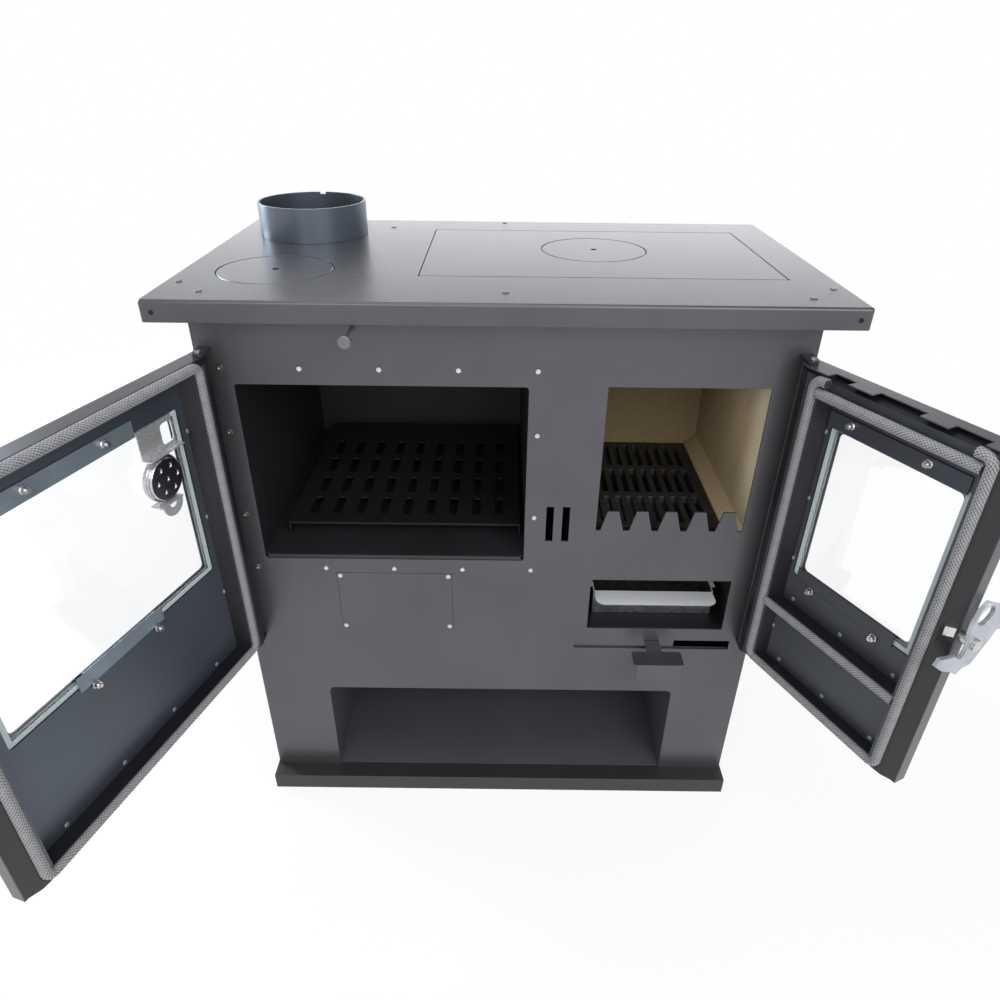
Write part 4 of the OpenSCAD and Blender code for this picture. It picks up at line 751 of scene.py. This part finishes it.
FLOOR_HALF = 6.0
FLOOR_TONES = [(0.0, (0.90, 0.89, 0.88)), (1.0, (0.93, 0.92, 0.91))]
FLOOR_ROUGH = 0.9
FLOOR_SPECULAR = 0.2
SHADOW_SHARE = 0.13
SHADOW_RADIUS = (1.0, 2.6)
# Strength of the room on matt faces, and of its ceiling, with the directions where that begins
ROOM_LEVEL = 0.45
CEILING_LEVEL = 0.4
CEILING_BEGINS = (0.10, 0.42)
# Soft boxes: name, place, aim, size, watts and colour
SOFTBOXES = [
    ("front_box", (1.2, -2.6, 2.2), (0.0, -0.2, 0.4), (2.2, 1.6), 46.0, WHITE),
    ("camera_box", (-0.5, -1.8, 1.5), (0.2, -0.1, 0.4), (0.9, 0.7), 8.0, WHITE),
    ("top_box", (-0.3, -0.2, 2.9), (0.0, 0.0, 0.7), (2.4, 1.6), 22.0, (0.93, 0.96, 1.0)),
    ("left_box", (-2.3, 1.0, 1.3), (-0.2, 0.1, 0.7), (0.8, 1.6), 62.0, (0.80, 0.90, 1.0)),
    ("back_box", (0.2, 2.6, 1.05), (0.0, 0.0, 0.8), (4.2, 0.5), 22.0, (0.95, 0.97, 1.0)),
]


def bright_rays(m):
    """1 for the rays that see the white room: from the camera, or by a mirror or glass."""
    rays = m.add("ShaderNodeLightPath").outputs
    mirror_too = m.calc("MAXIMUM", rays["Is Camera Ray"], rays["Is Glossy Ray"])
    return m.calc("MAXIMUM", mirror_too, rays["Is Transmission Ray"])


def floor_material():
    """White floor: seen plain white but for a faint shadow near the stove."""
    m = new_material("floor_white")
    m.surface(Base_Color=m.ramp(m.noise("floor_clouds"), FLOOR_TONES), Roughness=FLOOR_ROUGH,
              Specular_IOR_Level=FLOOR_SPECULAR)
    away = m.add("ShaderNodeVectorMath", operation="LENGTH")
    m.feed(m.coords(), away.inputs[0])
    spread = m.number(away.outputs["Value"], 1.0 - SHADOW_SHARE, 1.0, *SHADOW_RADIUS,
                      curve="SMOOTHSTEP")
    glow = m.add("ShaderNodeEmission")
    mix = m.add("ShaderNodeMixShader", Fac=m.calc("MULTIPLY", spread, bright_rays(m)))
    m.feed(m.bsdf.outputs["BSDF"], mix.inputs[1])
    m.feed(glow.outputs["Emission"], mix.inputs[2])
    out = next(n for n in m.tree.nodes if n.type == "OUTPUT_MATERIAL")
    m.feed(mix.outputs["Shader"], out.inputs["Surface"])
    return m.owner


def world_light():
    """A white room with a darker ceiling; the camera sees it plain white."""
    world = bpy.data.worlds.new("studio")
    bpy.context.scene.world = world
    m = Nodes(world)
    height = m.axis("Z", m.add("ShaderNodeTexCoord").outputs["Generated"])
    ceiling = m.number(height, 1.0, CEILING_LEVEL, *CEILING_BEGINS, curve="SMOOTHSTEP")
    room = m.mixed(bright_rays(m), ROOM_LEVEL, ceiling, data_type="FLOAT")
    from_camera = m.add("ShaderNodeLightPath").outputs["Is Camera Ray"]
    back = m.tree.nodes["Background"]
    m.feed(m.mixed(from_camera, room, 1.0, data_type="FLOAT"), back.inputs["Strength"])
    m.feed(WHITE, back.inputs["Color"])


def softbox(name, at, aim, size, watts, colour):
    """A lamp that the camera doesn't see."""
    light = bpy.data.lights.new(name, "AREA")
    light.shape = "RECTANGLE"
    light.size, light.size_y = size
    light.energy = watts
    light.color = colour
    obj = bpy.data.objects.new(name, light)
    obj.location = at
    obj.rotation_euler = (Vector(aim) - Vector(at)).to_track_quat("-Z", "Y").to_euler()
    obj.visible_camera = False
    bpy.context.scene.collection.objects.link(obj)


floor_mesh = bpy.data.meshes.new("floor")
floor_mesh.from_pydata([(-FLOOR_HALF, -FLOOR_HALF, 0), (FLOOR_HALF, -FLOOR_HALF, 0),
                        (FLOOR_HALF, FLOOR_HALF, 0), (-FLOOR_HALF, FLOOR_HALF, 0)],
                       [], [(0, 1, 2, 3)])
floor = bpy.data.objects.new("floor", floor_mesh)
floor.data.materials.append(floor_material())
bpy.context.scene.collection.objects.link(floor)

world_light()
for row in SOFTBOXES:
    softbox(*row)

camera = bpy.data.cameras.new("photo_camera")
camera.sensor_fit = "HORIZONTAL"
camera.sensor_width = SENSOR
camera.lens = CAMERA_LENS
camera.clip_start = CAMERA_CLIP
ahead = Vector((0, math.cos(CAMERA_DOWN), -math.sin(CAMERA_DOWN)))
up = Vector((0, math.sin(CAMERA_DOWN), math.cos(CAMERA_DOWN)))
right = Vector((1, 0, 0))
right_rolled = right * math.cos(CAMERA_ROLL) + up * math.sin(CAMERA_ROLL)
up_rolled = up * math.cos(CAMERA_ROLL) - right * math.sin(CAMERA_ROLL)
view = Matrix((right_rolled, up_rolled, -ahead)).transposed().to_4x4()
camera_obj = bpy.data.objects.new("photo_camera", camera)
camera_obj.matrix_world = Matrix.Translation(CAMERA_AT) @ view
bpy.context.scene.collection.objects.link(camera_obj)
bpy.context.scene.camera = camera_obj
bpy.context.scene.view_settings.view_transform = "Standard"
